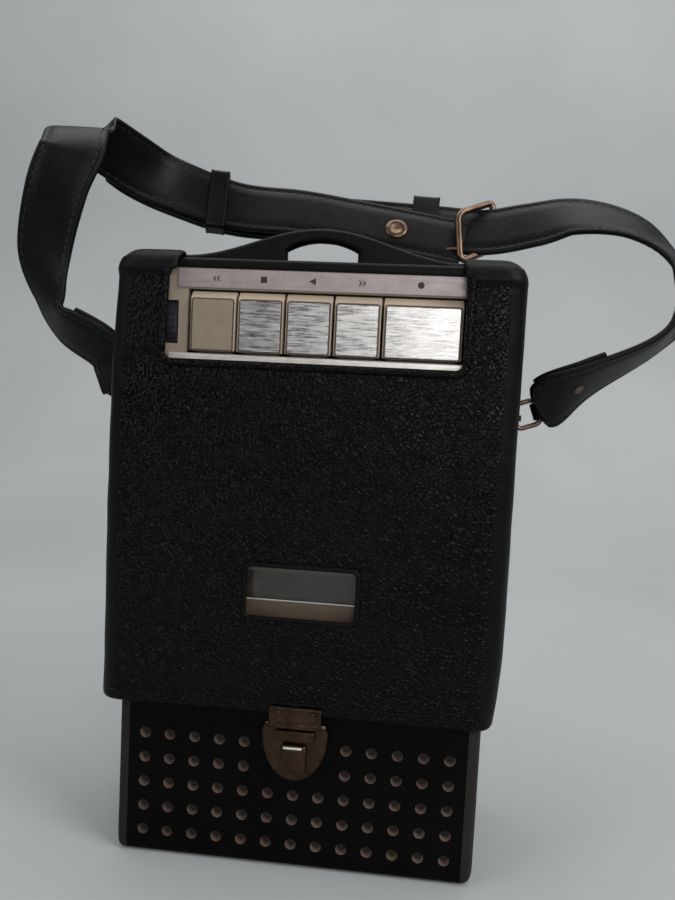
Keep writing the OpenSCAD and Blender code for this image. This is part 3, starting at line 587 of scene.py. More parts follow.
def flap_point(x, y, z):
    """A point of the flap's skin, from its place on a box with sharp edges."""
    p = round_box((x, y, z), *FLAP_BOX, FLAP_ROUND)
    p.x += p.x / FLAP_HALF * side_pull(x, z)
    if abs(x) > CUT_HALF and y < FLAP_FRONT + FLAP_ROUND:
        p.y -= ROLL_LIFT * ease((z - ROLL_FOOT) / ROLL_STEP) * ease((FLAP_TOP - z) / ROLL_STEP)
    p.x -= ear_spread(x, y, z)
    return p + wear_direction(p, x, y, z) * min(WEAR_LIMIT, hand_worn(p))


def unfolded(v):
    """Place (y, z) on the flap's box for a value that runs up the front and on over the top."""
    return FLAP_FRONT + max(0, v - FLAP_TOP), min(v, FLAP_TOP)


def flap_spot(x, v):
    """Point and outward direction on the flap's skin."""
    spot = (x, *unfolded(v))
    away = round_box(spot, *FLAP_BOX, FLAP_ROUND) - inside(spot, *FLAP_BOX, FLAP_ROUND)
    return flap_point(*spot), away.normalized()


def outside_cutouts(x, v):
    """False where the flap is cut away for the keys and for the window."""
    if abs(x) < CUT_HALF and CUT_Z < v < FLAP_TOP + CUT_BACK_Y - FLAP_FRONT:
        return False
    return not (abs(x) < WINDOW_HALF and WINDOW_Z0 < v < WINDOW_Z1)


def smooth_part(c):
    """True on the rolls of the ears and on the flap's round sides."""
    side = FLAP_HALF - FLAP_ROUND + SMOOTH_PAST_SIDE
    if c.x < 0:
        side += slack_at(c.z)
    return c.z > ROLL_FOOT + SMOOTH_PAST_ROLL or abs(c.x) > side


def make_flap():
    right = [WINDOW_HALF, CUT_HALF, FLAP_HALF - FLAP_ROUND, FLAP_HALF]
    xs = spaced([-x for x in reversed(right)] + right, FLAP_STEP)
    zs = spaced([FLAP_BOTTOM, WINDOW_Z0, WINDOW_Z1, CUT_Z, ROLL_HOLD_Z], FLAP_STEP)
    zs += spaced([ROLL_FOOT, ROLL_FOOT + ROLL_STEP, FLAP_TOP], ROLL_GRID)
    ys = spaced([FLAP_FRONT, FLAP_FRONT + FLAP_ROUND, CUT_BACK_Y, CUT_HOLD_Y, FLAP_SPLIT_Y], FLAP_STEP)
    side_ys = [y for y in ys if y <= CUT_BACK_Y]
    vs = zs + [FLAP_TOP + y - FLAP_FRONT for y in ys[1:]]
    parts = [grid(xs, vs, lambda x, v: flap_point(x, *unfolded(v)), outside_cutouts)]
    for side in (-1, 1):
        parts.append(grid(side_ys, zs, lambda y, z: flap_point(side * FLAP_HALF, y, z)))
    obj = weld(place("flap_cover", *join_lists(parts), "flap", flap_leather, "case_leather"))
    paint(obj, smooth_leather, smooth_part)
    thicken(obj, LEATHER)
    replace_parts(obj, "flap")


def fold_line():
    """The fold's run (y, z): back over the top, round the edge and down."""
    line = [(y, FLAP_TOP) for y in spaced([FLAP_SPLIT_Y, FOLD_BEND_Y], FOLD_STEP)]
    line += [(FOLD_BEND_Y + v, FLAP_TOP - FOLD_R + u) for u, v in quarter(0, 0, FOLD_R, 0)[1:]]
    return line + [(FOLD_BACK, FLAP_TOP - FOLD_R - d) for d in spaced([0, FOLD_TAIL], FLAP_STEP)[1:]]


def make_flap_fold():
    """The leather that folds over the upper rear edge and is sewn to the back of the case."""
    line = fold_line()
    inner = FLAP_HALF - FLAP_ROUND
    xs = spaced([-FLAP_HALF, -inner, inner, FLAP_HALF], FLAP_STEP)

    def point(x, k):
        y, z = line[k]
        if y > FOLD_BEND_Y + TINY:
            return Vector((x * FOLD_NARROW, y, z))
        edge = round_box((x, 0, FLAP_TOP), *FLAP_BOX, FLAP_ROUND)
        return Vector((edge.x, y, z - (FLAP_TOP - edge.z)))

    obj = weld(place("flap_fold", *grid(xs, range(len(line)), point), None, flap_leather, "case_leather"))
    thicken(obj, LEATHER)
    for m in list(obj.modifiers):
        with bpy.context.temp_override(object=obj, active_object=obj):
            bpy.ops.object.modifier_apply(modifier=m.name)
    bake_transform(obj)


def bead(name, line, radius, squeeze, mat, closed=False):
    """A half round bead of leather along a line (x, v) of the flap."""
    section = [(s * radius, o * radius * squeeze) for s, o in circle(1.0, 10)]
    spots = [flap_spot(x, v) for x, v in line]
    swept(name, spots, section, "flap", mat, "case_leather", closed)


def make_flap_trim():
    """The turned rib round the key cut-out, the rim of the window and the hem."""
    proud, r, tuck = 1.3, 4.0, 1.5
    side, drop = CUT_HALF + proud, CUT_Z - proud
    rise = spaced([drop + r, ROLL_FOOT + tuck], 2.0)
    rib = [(-side, v) for v in reversed(rise)]
    rib += quarter(-side + r, drop + r, r, 180)
    rib += [(x, drop) for x in spaced([-side + r, side - r], 3.0)[1:-1]]
    rib += quarter(side - r, drop + r, r, 270)
    rib += [(side, v) for v in rise[1:]]
    bead("cutout_rib", rib, 1.5, 0.7, flap_leather)
    lap, mid = 0.4, (WINDOW_Z0 + WINDOW_Z1) / 2
    rim = plate_outline(2 * (WINDOW_HALF + lap), WINDOW_Z1 - WINDOW_Z0 + 2 * lap, 2.4)
    bead("window_rim", [(x, mid + v) for x, v in rim], 0.9, 0.8, smooth_leather, closed=True)
    hem_z, hem_half = FLAP_BOTTOM + 4.6, FLAP_HALF - 6
    bead("flap_hem", [(x, hem_z) for x in spaced([-hem_half, hem_half], 3.0)], 0.55, 0.5, flap_leather)


# Case

CASE_ROUND = 4.0
CASE_STEP = 2.2
CASE_STEP_Z = 3.0
CASE_MIDDLE = Vector((0, 0, 110))
CASE_WEAR = 0.5
CASE_WEAR_LIMIT = 0.4
TOP_FRONT_Y = -22.0
HOLE_R = 1.6
HOLE_MOUTH_R = 2.15
HOLE_LIP = 0.2
HOLE_SINK = 0.06
HOLE_DEPTH = 2.2
HOLE_STEPS = 4
HOLE_SIDES = 16
HOLE_PITCH = 9.75
HOLE_HALF = HOLE_PITCH / 2
HOLE_FIRST_Z = 9.7
HOLE_COLS = 13
HOLE_ROWS = 5
HOLE_FIRST_X = -(HOLE_COLS - 1) / 2 * HOLE_PITCH
PLUG_R = 0.8
FRONT_H = 72.0
FRONT_STEP = 2.4
FRONT_SEAM = 0.05
FRONT_INSET = 0.4
FRONT_TURN = 2.4
# Where the front's mesh gets finer towards its lower edge and its sides
LOW_STEPS = (0, 0.5, 1.2, 2.4)
SIDE_STEPS = (5.6, 4.2, 3.0, 2.0, 1.2, 0.5, 0.0)
WORN_SIDE = 5.2
WORN_LOW = 1.6
RAW_SINK = 0.04
# Where the near-black sheet of painted shade lies behind the holes
SHADE_SHEET_INSET = 5.0
SHADE_SHEET_Z = (3, FRONT_H - 1.5)
SHADE_SHEET_Y = CASE_FRONT + 2.35
SHADE_SHEET_T = 0.2
SHADE_SHEET_STEP = 2.5


def make_case_body():
    """Sides, back, base and top of the case in one sheet; the front stays open."""
    low = (-CASE_HALF, -math.inf, 0)
    high = (CASE_HALF, CASE_BACK, TOP_PANEL)
    r = CASE_ROUND
    xs = spaced([-CASE_HALF, -CASE_HALF + r, CASE_HALF - r, CASE_HALF], CASE_STEP)
    ys = spaced([CASE_FRONT + LEATHER, TOP_FRONT_Y, CASE_BACK - r, CASE_BACK], CASE_STEP)
    top_ys = [y for y in ys if y >= TOP_FRONT_Y - TINY]
    zs = spaced([0, r, TOP_PANEL - r, TOP_PANEL], CASE_STEP_Z)

    def at(x, y, z):
        p = round_box((x, y, z), low, high, r)
        wear = CASE_WEAR * clamp(hand_worn(p), -CASE_WEAR_LIMIT, CASE_WEAR_LIMIT)
        return p + (p - CASE_MIDDLE).normalized() * wear

    parts = [grid(xs, zs, lambda x, z: at(x, CASE_BACK, z)),
             grid(xs, top_ys, lambda x, y: at(x, y, TOP_PANEL)),
             grid(xs, ys, lambda x, y: at(x, y, 0))]
    for side in (-1, 1):
        parts.append(grid(ys, zs, lambda y, z: at(side * CASE_HALF, y, z)))
    obj = weld(place("case_body", *join_lists(parts), "case", case_leather, "case_leather"))
    thicken(obj, LEATHER)
    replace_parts(obj, "case_shell")


def square_ring(cx, cz):
    """Points round a hole's square, at even angles."""
    points = []
    for c, d in circle(1.0, HOLE_SIDES):
        reach = HOLE_HALF / max(abs(c), abs(d))
        points.append(Vector((cx + c * reach, CASE_FRONT, cz + d * reach)))
    return points


def circle_ring(cx, cz, radius, depth=0.0):
    return [Vector((cx + u, CASE_FRONT + depth, cz + v)) for u, v in circle(radius, HOLE_SIDES)]


def hole_patch(row, col):
    """One square of the front, with a flared hole or, where the lock sits, without one."""
    cx, cz = HOLE_FIRST_X + col * HOLE_PITCH, HOLE_FIRST_Z + row * HOLE_PITCH
    rings = [square_ring(cx, cz), circle_ring(cx, cz, HOLE_MOUTH_R + HOLE_LIP)]
    if row >= HOLE_ROWS - 2 and abs(cx) < 1.5 * HOLE_PITCH:
        plug = circle_ring(cx, cz, PLUG_R)
        return [stack_rings([*rings, plug]), (plug, [tuple(range(HOLE_SIDES))])]
    for k in range(HOLE_STEPS + 1):
        radius = HOLE_MOUTH_R + (HOLE_R - HOLE_MOUTH_R) * k / HOLE_STEPS
        rings.append(circle_ring(cx, cz, radius, HOLE_SINK + HOLE_DEPTH * k / HOLE_STEPS))
    return [stack_rings(rings)]


def square_lines(first, count):
    """Where the points on the outer edges of the hole squares lie along one direction."""
    step = HOLE_HALF * math.tan(math.radians(22.5))
    return sorted({round(first + i * HOLE_PITCH + d, 4)
                   for i in range(count) for d in (-HOLE_HALF, -step, 0, step, HOLE_HALF)})


def front_point(x, z):
    """A point of the front leather: its lower corners are round and its edges turn back to the case."""
    half, r = CASE_HALF - FRONT_INSET, CASE_ROUND - FRONT_INSET
    inner = Vector((clamp(x, -half + r, half - r), max(FRONT_INSET + r, z)))
    away = Vector((x, z)) - inner
    if away.x and away.y < 0:
        away = away.normalized() * max(abs(away.x), abs(away.y))
    spot = inner + away
    reach = max(0.0, away.length - (r - FRONT_TURN)) / FRONT_TURN
    return Vector((spot.x, CASE_FRONT + FRONT_TURN * (1 - math.sqrt(max(0.0, 1 - reach * reach))), spot.y))


def make_perforated_front():
    parts = []
    for row in range(HOLE_ROWS):
        for col in range(HOLE_COLS):
            parts += hole_patch(row, col)
    columns = square_lines(HOLE_FIRST_X, HOLE_COLS)
    rows = square_lines(HOLE_FIRST_Z, HOLE_ROWS)
    low = [*(FRONT_INSET + d for d in LOW_STEPS), rows[0]]
    high = spaced([rows[-1], FRONT_H], FRONT_STEP)
    parts += [grid(columns, low, front_point), grid(columns, high, front_point)]
    for side in (-1, 1):
        outer = [side * columns[-1], *(side * (CASE_HALF - FRONT_INSET - d) for d in SIDE_STEPS)]
        parts.append(grid(outer, low + rows[1:] + high[1:], front_point))
    obj = weld(place("case_front", *join_lists(parts), "case", case_leather, "case_leather"), FRONT_SEAM)
    paint(obj, worn_edge, lambda c: abs(c.x) > CASE_HALF - WORN_SIDE or c.z < WORN_LOW)
    paint(obj, raw_edge, lambda c: c.y > CASE_FRONT + RAW_SINK and abs(c.x) < columns[-1] and c.z > rows[0])
    subdivide(obj)


def make_hole_shade():
    """A near-black sheet behind the punched holes: painted shade for the dark insides of the holes."""
    half = CASE_HALF - SHADE_SHEET_INSET
    xs, zs = spaced([-half, half], SHADE_SHEET_STEP), spaced(SHADE_SHEET_Z, SHADE_SHEET_STEP)
    obj = place("hole_shade_sheet", *grid(xs, zs, lambda x, z: (x, SHADE_SHEET_Y, z)), "case", hole_shade_black)
    back = -1 if obj.data.polygons[0].normal.y < 0 else 1
    modifier(obj, "SOLIDIFY", thickness=SHADE_SHEET_T * MM, offset=back)


# Stamped plates: the lock, the lines of the cassette window and the keys

STAMPED_CREASE = 50
SHIELD_DROP = 18.2
SHIELD_UPPER = 10.0
SHIELD_MID_Z = FLAP_BOTTOM - 7.5
SHIELD_DOME_Z = SHIELD_MID_Z - 5
SHIELD_STEPS = ((1.0, 0.0), (1.0, 1.1), (0.985, 1.6), (0.95, 1.95), (0.9, 2.05), (0.8, 2.1), (0.5, 2.16),
                (0.15, 2.2))
LOCK_FOOT_Z = 57.2
LOCK_BAR_Z = 54.2


def make_lock_shield():
    """The lock's shield with a round rim and a slightly domed face."""
    half, top = shield_high.x, shield_high.z - SHIELD_MID_Z
    outline = []
    for a in range(0, 181, 6):
        turn = math.radians(a)
        outline.append((-half * math.cos(turn), SHIELD_MID_Z - SHIELD_DROP * math.sin(turn)))
    upper = []
    for k in range(1, 5):
        rise = k / 4 * top
        upper.append((half * math.sqrt(1 - (rise / SHIELD_UPPER) ** 2), SHIELD_MID_Z + rise))
    outline += upper + [(0, shield_high.z)] + [(-x, z) for x, z in reversed(upper)]
    middle = Vector((0, 0, SHIELD_DOME_Z))
    rings = []
    for size, lift in SHIELD_STEPS:
        front = Vector((0, CASE_FRONT - lift, 0))
        rings.append([middle + (Vector((x, 0, z)) - middle) * size + front for x, z in outline])
    obj = solid("lock_face", rings, "case", lock_metal, "lock_metal", STAMPED_CREASE)
    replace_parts(obj, "lock_shield")


def relief_plate(name, middle, size, steps, mat, body, slot=None, smooth=True):
    """A stamped plate; steps of (inset, lift) run from its back edge to the middle of its face."""
    cx, y, cz = middle
    w, h, r = size
    rings = []
    for inset, lift in steps:
        line = plate_outline(w - 2 * inset, h - 2 * inset, max(0.1, r - inset))
        rings.append([Vector((cx + u, y - lift, cz + v)) for u, v in line])
    return solid(name, rings, body, mat, slot, STAMPED_CREASE if smooth else None, smooth)


def lock_piece(name, middle, size, steps, body, mat=lock_metal):
    return relief_plate(name, middle, size, steps, mat, body, "lock_metal")


def make_lock_pieces():
    """The plate on the flap with its raised rim and lip, the tongue's bar, and the tab that is pressed."""
    y, w, h = lock_high.y, lock_high.x - lock_low.x, lock_high.z - LOCK_FOOT_Z
    rim = ((0, 0), (0, 1.1), (0.25, 1.45), (0.7, 1.55), (1.15, 1.42), (1.5, 1.22), (3.2, 1.2))
    plate = lock_piece("lock_flap_plate", (0, y, LOCK_FOOT_Z + h / 2), (w, h, 1.0), rim, "flap")
    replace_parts(plate, "lock_plate")
    soft = ((0, 0), (0, 0.5), (0.25, 0.85), (0.7, 1.0), (1.4, 1.05))
    lock_piece("lock_lip", (0, y - 0.5, LOCK_FOOT_Z + 1.1), (w - 2.4, 2.6, 1.2), soft, "flap")
    bar = ((0, -0.3), (0, 0.7), (0.3, 1.05), (0.8, 1.2), (1.8, 1.2))
    lock_piece("lock_bar", (0, y, LOCK_BAR_Z), (15.6, 4.4, 1.1), bar, "flap")
    low, high = button_low, button_high
    face = ((0, 0), (0, 1.1), (0.3, 1.55), (0.8, 1.75), (1.6, 1.85), (3.4, 1.9))
    size = (high.x - low.x, high.z - low.z, 1.6)
    tab = lock_piece("lock_tab", (0, high.y, (low.z + high.z) / 2), size, face, "lock_button")
    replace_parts(tab, "lock_button")
    # A small lip on the tab; its bright trim metal, unlike the dark lock metal, is a painted highlight
    ridge = ((0, 0), (0.08, 0.3), (0.25, 0.42), (0.38, 0.45))
    place_at = (-0.4, low.y, high.z - 1.2)
    lock_piece("lock_tab_ridge_glint", place_at, (7.2, 0.9, 0.45), ridge, "lock_button", trim_metal)


def make_window_lines():
    """A bright line under the window's pane, a painted glint on its lower edge, and a grey band along its
    top, a painted reflection of light on the pane.
    """
    y, width, band_z = pane_low.y - 0.6, 2 * WINDOW_HALF + 10, 116.2
    glint_steps = ((0, 0), (0.05, 0.2), (0.16, 0.32), (0.24, 0.34))
    glint_z = pane_low.z + 0.1
    relief_plate("window_glint_line", (0, y, glint_z), (width, 0.6, 0.25), glint_steps, trim_metal, "cassette_lid")
    band = ((0, -0.6), (0, 0.15), (0.2, 0.3), (0.5, 0.34))
    relief_plate("window_reflection_band", (0, y, band_z), (width, 2.6, 0.4), band, pane_reflection_grey, "cassette_lid")


# The caps lie on the keys like a skin and rise a little higher, with a slant at the front
CAP_SKIN = 0.03
CAP_Z0 = 211.0
CAP_SLANT_Z = 216.0
CAP_SLANT_Y = 2.4
CAP_TOP = 218.6
CAP_DEPTH = 7.0
CAP_ROUND = 0.4
CAP_ROUND_ANGLE = math.radians(25)
PLATE_TOP = 215.3
PLATE_R = 0.7
LINE_PROUD = 0.25
LINE_R = 0.9
LINE_SINK = 0.12
LINE_SECTION = ((0.3, 0), (0.3, 0.2), (-0.3, 0.2), (-0.3, 0))


def make_key_cap(key):
    """A key's cap with its slanted front edge."""
    low, high = corner(f"key_{key}")
    front = low.y - CAP_SKIN
    profile = [(front, CAP_Z0), (front, CAP_SLANT_Z), (front + CAP_SLANT_Y, CAP_TOP),
               (front + CAP_DEPTH, CAP_TOP), (front + CAP_DEPTH, CAP_Z0)]
    rings = [[Vector((x, y, z)) for y, z in profile] for x in (low.x - CAP_SKIN, high.x + CAP_SKIN)]
    cap = solid(f"keycap_{key}", rings, f"key_{key}", key_plastic, "beige_plastic", smooth=False)
    modifier(cap, "BEVEL", width=CAP_ROUND * MM, segments=3, limit_method="ANGLE",
             angle_limit=CAP_ROUND_ANGLE)


def make_key_plate(key):
    """A key's tall face plate and the dark line round it."""
    low, high = corner(f"plate_{key}")
    w, h, t = high.x - low.x, PLATE_TOP - low.z, high.y - low.y
    cx, cz = (low.x + high.x) / 2, (PLATE_TOP + low.z) / 2
    steps = ((0, 0), (0, t - 0.2), (0.06, t - 0.06), (0.2, t))
    finish = matt_plate if key == "rewind" else brushed
    plate = relief_plate(f"key_plate_{key}", (cx, high.y, cz), (w, h, PLATE_R), steps, finish, f"key_{key}",
                         "brushed_plate", smooth=False)
    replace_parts(plate, f"plate_{key}")
    outline = plate_outline(w + 2 * LINE_PROUD, h + 2 * LINE_PROUD, LINE_R)
    spots = [(Vector((cx + u, high.y - LINE_SINK, cz + v)), Vector((0, -1, 0))) for u, v in outline]
    swept(f"plate_line_{key}", spots, LINE_SECTION, f"key_{key}", plate_line, closed=True, smooth=False)


def make_keys():
    for key in KEYS:
        make_key_cap(key)
        make_key_plate(key)


# Grip and top edge

GRIP_Y = -16.7
GRIP_T = 6.0
GRIP_HALF = 53.4
GRIP_END = 2.4
GRIP_ROUND = 1.9
GRIP_STEP = 2.0
GRIP_BASE = TOP_PANEL - 1.0
GRIP_BASE_HALF = GRIP_HALF + 0.3
RIM_TURN = 1.2
FINGER_HALF = 13.5
FINGER_H = 7.6
FINGER_Z = TOP_PANEL + 1.0


def grip_outlines():
    """The grip's outline and its finger hole, as (x, z)."""
    outline = []
    for x in spaced([-GRIP_HALF, GRIP_HALF], GRIP_STEP):
        hump = math.cos(math.pi / 2 * min(1, abs(x) / GRIP_HALF)) ** 2
        outline.append((x, TOP_PANEL + GRIP_END + (grip_high.z - TOP_PANEL - GRIP_END) * hump))
    outline += [(GRIP_BASE_HALF, GRIP_BASE), (-GRIP_BASE_HALF, GRIP_BASE)]
    arch_r = 2 * FINGER_HALF
    hole = [(x, FINGER_Z + FINGER_H - arch_r + math.sqrt(arch_r ** 2 - x * x))
            for x in spaced([-FINGER_HALF, FINGER_HALF], 1.5)]
    return outline, hole + [(FINGER_HALF, FINGER_Z), (-FINGER_HALF, FINGER_Z)]


def is_rim(edge):
    """True for a sharp edge that runs along the grip's front or back."""
    level = abs(edge.verts[0].co.y - edge.verts[1].co.y) < TINY
    return level and len(edge.link_faces) == 2 and edge.calc_face_angle() > RIM_TURN


def make_grip():
    """The standing leather grip with its finger hole, rounded on all edges."""
    bm = bmesh.new()
    edges = []
    for loop in grip_outlines():
        ring = [bm.verts.new(Vector((x, GRIP_Y + GRIP_T / 2, z)) * MM) for x, z in loop]
        edges += [bm.edges.new((ring[i], ring[(i + 1) % len(ring)])) for i in range(len(ring))]
    bmesh.ops.triangle_fill(bm, edges=edges, use_beauty=True)
    front = bmesh.ops.extrude_face_region(bm, geom=bm.faces[:])
    moved = [v for v in front["geom"] if isinstance(v, bmesh.types.BMVert)]
    bmesh.ops.translate(bm, verts=moved, vec=(0, -GRIP_T * MM, 0))
    bmesh.ops.recalc_face_normals(bm, faces=bm.faces)
    rims = [edge for edge in bm.edges if is_rim(edge)]
    bmesh.ops.bevel(bm, geom=rims, offset=GRIP_ROUND * MM, segments=4, affect="EDGES", profile=0.5)
    mesh = bpy.data.meshes.new("grip")
    bm.to_mesh(mesh)
    bm.free()
    obj = adopt("grip", mesh, "case", smooth_leather, "case_leather")
    mesh.set_sharp_from_angle(angle=BEVEL_ANGLE)
    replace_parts(obj, "carry_grip")


def make_top_edge():
    """The front edge of the case's top, turned down over the recorder as far as the label strip."""
    low_z, front = strip_high.z + 0.15, strip_low.y - 0.2
    line = [(front + 4.5, TOP_PANEL - 0.3), (front + 2.2, TOP_PANEL - 0.1), (front + 0.8, TOP_PANEL - 0.6),
            (front, TOP_PANEL - 1.8), (front, low_z)]
    xs = spaced([-CUT_HALF - 4, CUT_HALF + 2], 3.0)
    sheet = grid(xs, range(len(line)), lambda x, k: Vector((x, *line[k])))
    obj = weld(place("case_top_edge", *sheet, "case", smooth_leather, "case_leather"))
    if obj.data.polygons[0].normal.z < 0:
        obj.data.flip_normals()
    thicken(obj, 0.7)


# Strap

STRAP_W = 25.2
STRAP_T = 2.6
STRAP_END_W = 13.0
STRAP_CREASE = 60
LUG_X = CASE_HALF
LUG_Y, LUG_Z = 4.0, 177.0
RING_TILT = math.radians(20)
RING_LEN = 10.0
RING_X = LUG_X + 9.0
RING_OUT = Vector((RING_X + RING_LEN * math.cos(RING_TILT), LUG_Y, LUG_Z + RING_LEN * math.sin(RING_TILT)))

# The strap's listed points, near the CAD part's, each with the way its face looks
LEFT_ROUTE = [
    (-RING_OUT.x + 1, LUG_Y - 2.8, RING_OUT.z - 0.6, 0, -1, 0),
    (-LUG_X - 23, 2, 195.4, -0.1, -0.88, -0.46),
    (-LUG_X - 42.4, -0.5, 207.6, -0.69, -0.62, -0.36),
    (-LUG_X - 46.6, -2.5, 220, -0.56, -0.83, 0.03),
    (-LUG_X - 47.2, -5.5, 237.2, -0.11, -0.99, 0.03),
    (-LUG_X - 40.4, -9.5, 260.3, 0.15, -0.98, 0.11),
    (-LUG_X - 35, -8.5, 275, 0.25, -0.94, 0.24),
    (-LUG_X - 36.9, 2, 286.9, 0.04, -0.19, 0.98),
    (-LUG_X - 34.3, 15, 287.6, 0.14, 0.97, 0.18),
    (-LUG_X - 20.7, 33, 281.5, 0.24, 0.97, -0.08),
    (-LUG_X - 5.8, 43.5, 276.9, 0.14, 0.95, -0.27),
    (-50.4, 48, 270.3, 0.03, 0.93, -0.36),
    (-20, 44.5, 267, 0.03, 0.91, -0.41),
    (5.5, 43, 263, 0.03, 0.89, -0.45),
    (28, 42, 259.1, 0.03, 0.89, -0.45),
    (54.5, 41.5, 254.6, 0.03, 0.89, -0.45)]
RIGHT_ROUTE = [
    (-LUG_X - 29.4, 27.5, 284.5, 0.6, -0.65, -0.47),
    (-LUG_X - 23.1, 35.1, 280.8, 0.64, -0.72, -0.27),
    (-LUG_X - 7.2, 45.7, 274.9, 0.39, -0.91, 0.16),
    (-50.9, 50.2, 267.8, 0.08, -0.94, 0.34),
    (-20, 49, 265.6, 0, -0.94, 0.35),
    (16, 47.8, 263.6, 0, -0.93, 0.37),
    (45, 47.4, 262, 0, -0.92, 0.4),
    (66.5, 45.6, 260.7, 0, -0.9, 0.45),
    (87, 44.5, 264.3, 0.02, -0.87, 0.5),
    (LUG_X + 36.5, 41.5, 267.7, -0.05, -0.77, 0.63),
    (LUG_X + 56.9, 32, 261.6, 0.27, -0.69, 0.67),
    (LUG_X + 71, 21, 247.1, 0.66, -0.56, 0.5),
    (LUG_X + 76.5, 11, 234.6, 0.58, -0.81, 0.07),
    (LUG_X + 64.6, 4, 210.9, 0.63, -0.33, -0.7),
    (LUG_X + 36.4, 2, 193.1, 0.52, -0.53, -0.67),
    (RING_OUT.x - 1, LUG_Y - 3.2, RING_OUT.z + 0.6, 0.1, -0.9, -0.2)]
ROUTE_STEPS = 12
# Places along the strap, counted in steps from its start or, where the name says so, from its end
TAPER_LEFT = 22
TAPER_RIGHT = 9
TAIL_LEFT = (7, 21)
TAIL_RIGHT_FROM_END = (16, 4)
KEEPER_AT = 128
BUCKLE_KEEPER_AT = 69
EYELET_AT = 167
RIVET_LEFT_AT = 5
RIVET_RIGHT_FROM_END = 11
# Sizes of the strap's details
RIVET_LEFT_ASIDE = 3.5
TAIL_WIDER = 0.3
TAIL_THIN = 0.8
TAIL_BEHIND = STRAP_T * 0.78
KEEPER_LEAN = math.radians(-12)
KEEPER_ROOM = 1.5
KEEPER_ROUND = 2.2
KEEPER_T = 1.0
LOOP_BEND_R = 2.75
TIP_LEN = 2.2
TIP_NARROW = 0.86
GROOVE_IN = 2.6
STITCH_PITCH = 3.6
STITCH_LEN = 2.5
STITCH_R = 0.2
STITCH_LIFT = 0.42
# Corners of the buckle's wire: the left bar before the strap, the right bar behind it
BUCKLE_CORNERS = [(55.5, 36, 245.2), (67.9, 45.5, 252.2), (70.4, 52.5, 276.3), (53.4, 41.5, 267.7)]
BUCKLE_PIN = [(46.7, 39.2, 251.2), (50, 38.6, 250.8), (53.4, 37.8, 250.9), (55.6, 37, 253.2)]
BUCKLE_WIRE_R = 1.6
BUCKLE_PIN_R = 0.9
BUCKLE_ROUND = 0.36


def curve_at(route, i, u):
    """A value of the smooth curve through a route's rows, at part u of the way from row i to the next."""
    a, b, c, d = (route[clamp(k, 0, len(route) - 1)] for k in (i - 1, i, i + 1, i + 2))
    return [0.5 * (2 * q + (s - p) * u + (2 * p - 5 * q + 4 * s - t) * u * u
                   + (3 * q - p - 3 * s + t) * u ** 3) for p, q, s, t in zip(a, b, c, d)]


def route_frames(route):
    """Frames (point, across, outward, along) of the strap's smooth line."""
    spans = range(len(route) - 1)
    values = [curve_at(route, i, k / ROUTE_STEPS) for i in spans for k in range(ROUTE_STEPS)]
    values.append(route[-1])
    points = [Vector(v[:3]) for v in values]
    frames = []
    for i, v in enumerate(values):
        along = (points[min(i + 1, len(points) - 1)] - points[max(i - 1, 0)]).normalized()
        across = along.cross(Vector(v[3:])).normalized()
        frames.append((points[i], across, across.cross(along), along))
    return frames


def strap_half(i, last, ring_first):
    """Half the strap's width: narrow at its ring, full one taper later."""
    if ring_first:
        at = min(1.0, i / TAPER_LEFT)
    else:
        at = math.sqrt(1 - (1 - min(1.0, (last - i) / TAPER_RIGHT)) ** 2)
    return (STRAP_END_W + (STRAP_W - STRAP_END_W) * at) / 2


def strap_section(half):
    """A flat section with round edges, a groove along each edge and a slightly domed face."""
    t = STRAP_T / 2
    face = [(half - 0.35, t * 0.72), (half - 1.0, t * 0.96), (half - 2.1, t), (half - GROOVE_IN, t * 0.8),
            (half - 3.1, t), (half * 0.45, t * 1.06), (0, t * 1.08)]
    upper = face + [(-s, o) for s, o in reversed(face[:-1])]
    return upper + [(-half, 0)] + [(s, -o) for s, o in reversed(upper)] + [(half, 0)]


def strap_solid(name, rings):
    return solid(name, rings, "strap", strap_leather, "strap_leather", STRAP_CREASE)


def stitch(p, along, out):
    """One stitch: a short thread that dips into the leather at both ends."""
    spots = []
    for k in range(5):
        u = k / 4 - 0.5
        spots.append((p + along * (u * STITCH_LEN) + out * (STITCH_R * (0.9 - 5.2 * u * u)), out))
    return sweep(spots, circle(STITCH_R, 6))


def stitch_row(name, spots):
    """Stitches along a line of (point, outward direction)."""
    parts, gone, due = [], 0.0, STITCH_PITCH / 2
    for (a, out), (b, _) in zip(spots, spots[1:]):
        run = (b - a).length
        while due <= gone + run:
            p = a + (b - a) * ((due - gone) / run)
            parts.append(stitch(p, (b - a).normalized(), out))
            due += STITCH_PITCH
        gone += run
    place(name, *join_lists(parts), "strap", thread)


def make_strap(name, route, ring_first, node):
    """One half of the strap with its tapered tip and four rows of stitches."""
    frames = route_frames(route)
    halves = [strap_half(i, len(frames) - 1, ring_first) for i in range(len(frames))]
    rings = []
    for (p, across, outward, along), half in zip(frames, halves):
        rings.append([p + across * s + outward * o for s, o in strap_section(half)])
    end, way = (-1, 1) if ring_first else (0, -1)
    p, along = frames[end][0], frames[end][3]
    tip = [p + along * way * TIP_LEN + (q - p) * TIP_NARROW for q in rings[end]]
    rings = rings + [tip] if ring_first else [tip] + rings
    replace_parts(strap_solid(name, rings), node)
    for row, (side, face) in enumerate(((-1, 1), (1, 1), (-1, -1), (1, -1))):
        spots = []
        for (p, across, outward, along), half in zip(frames, halves):
            groove = across * side * (half - GROOVE_IN) + outward * face * STRAP_T * STITCH_LIFT
            spots.append((p + groove, outward * face))
        stitch_row(f"{name}_stitches_{row}", spots)
    return frames


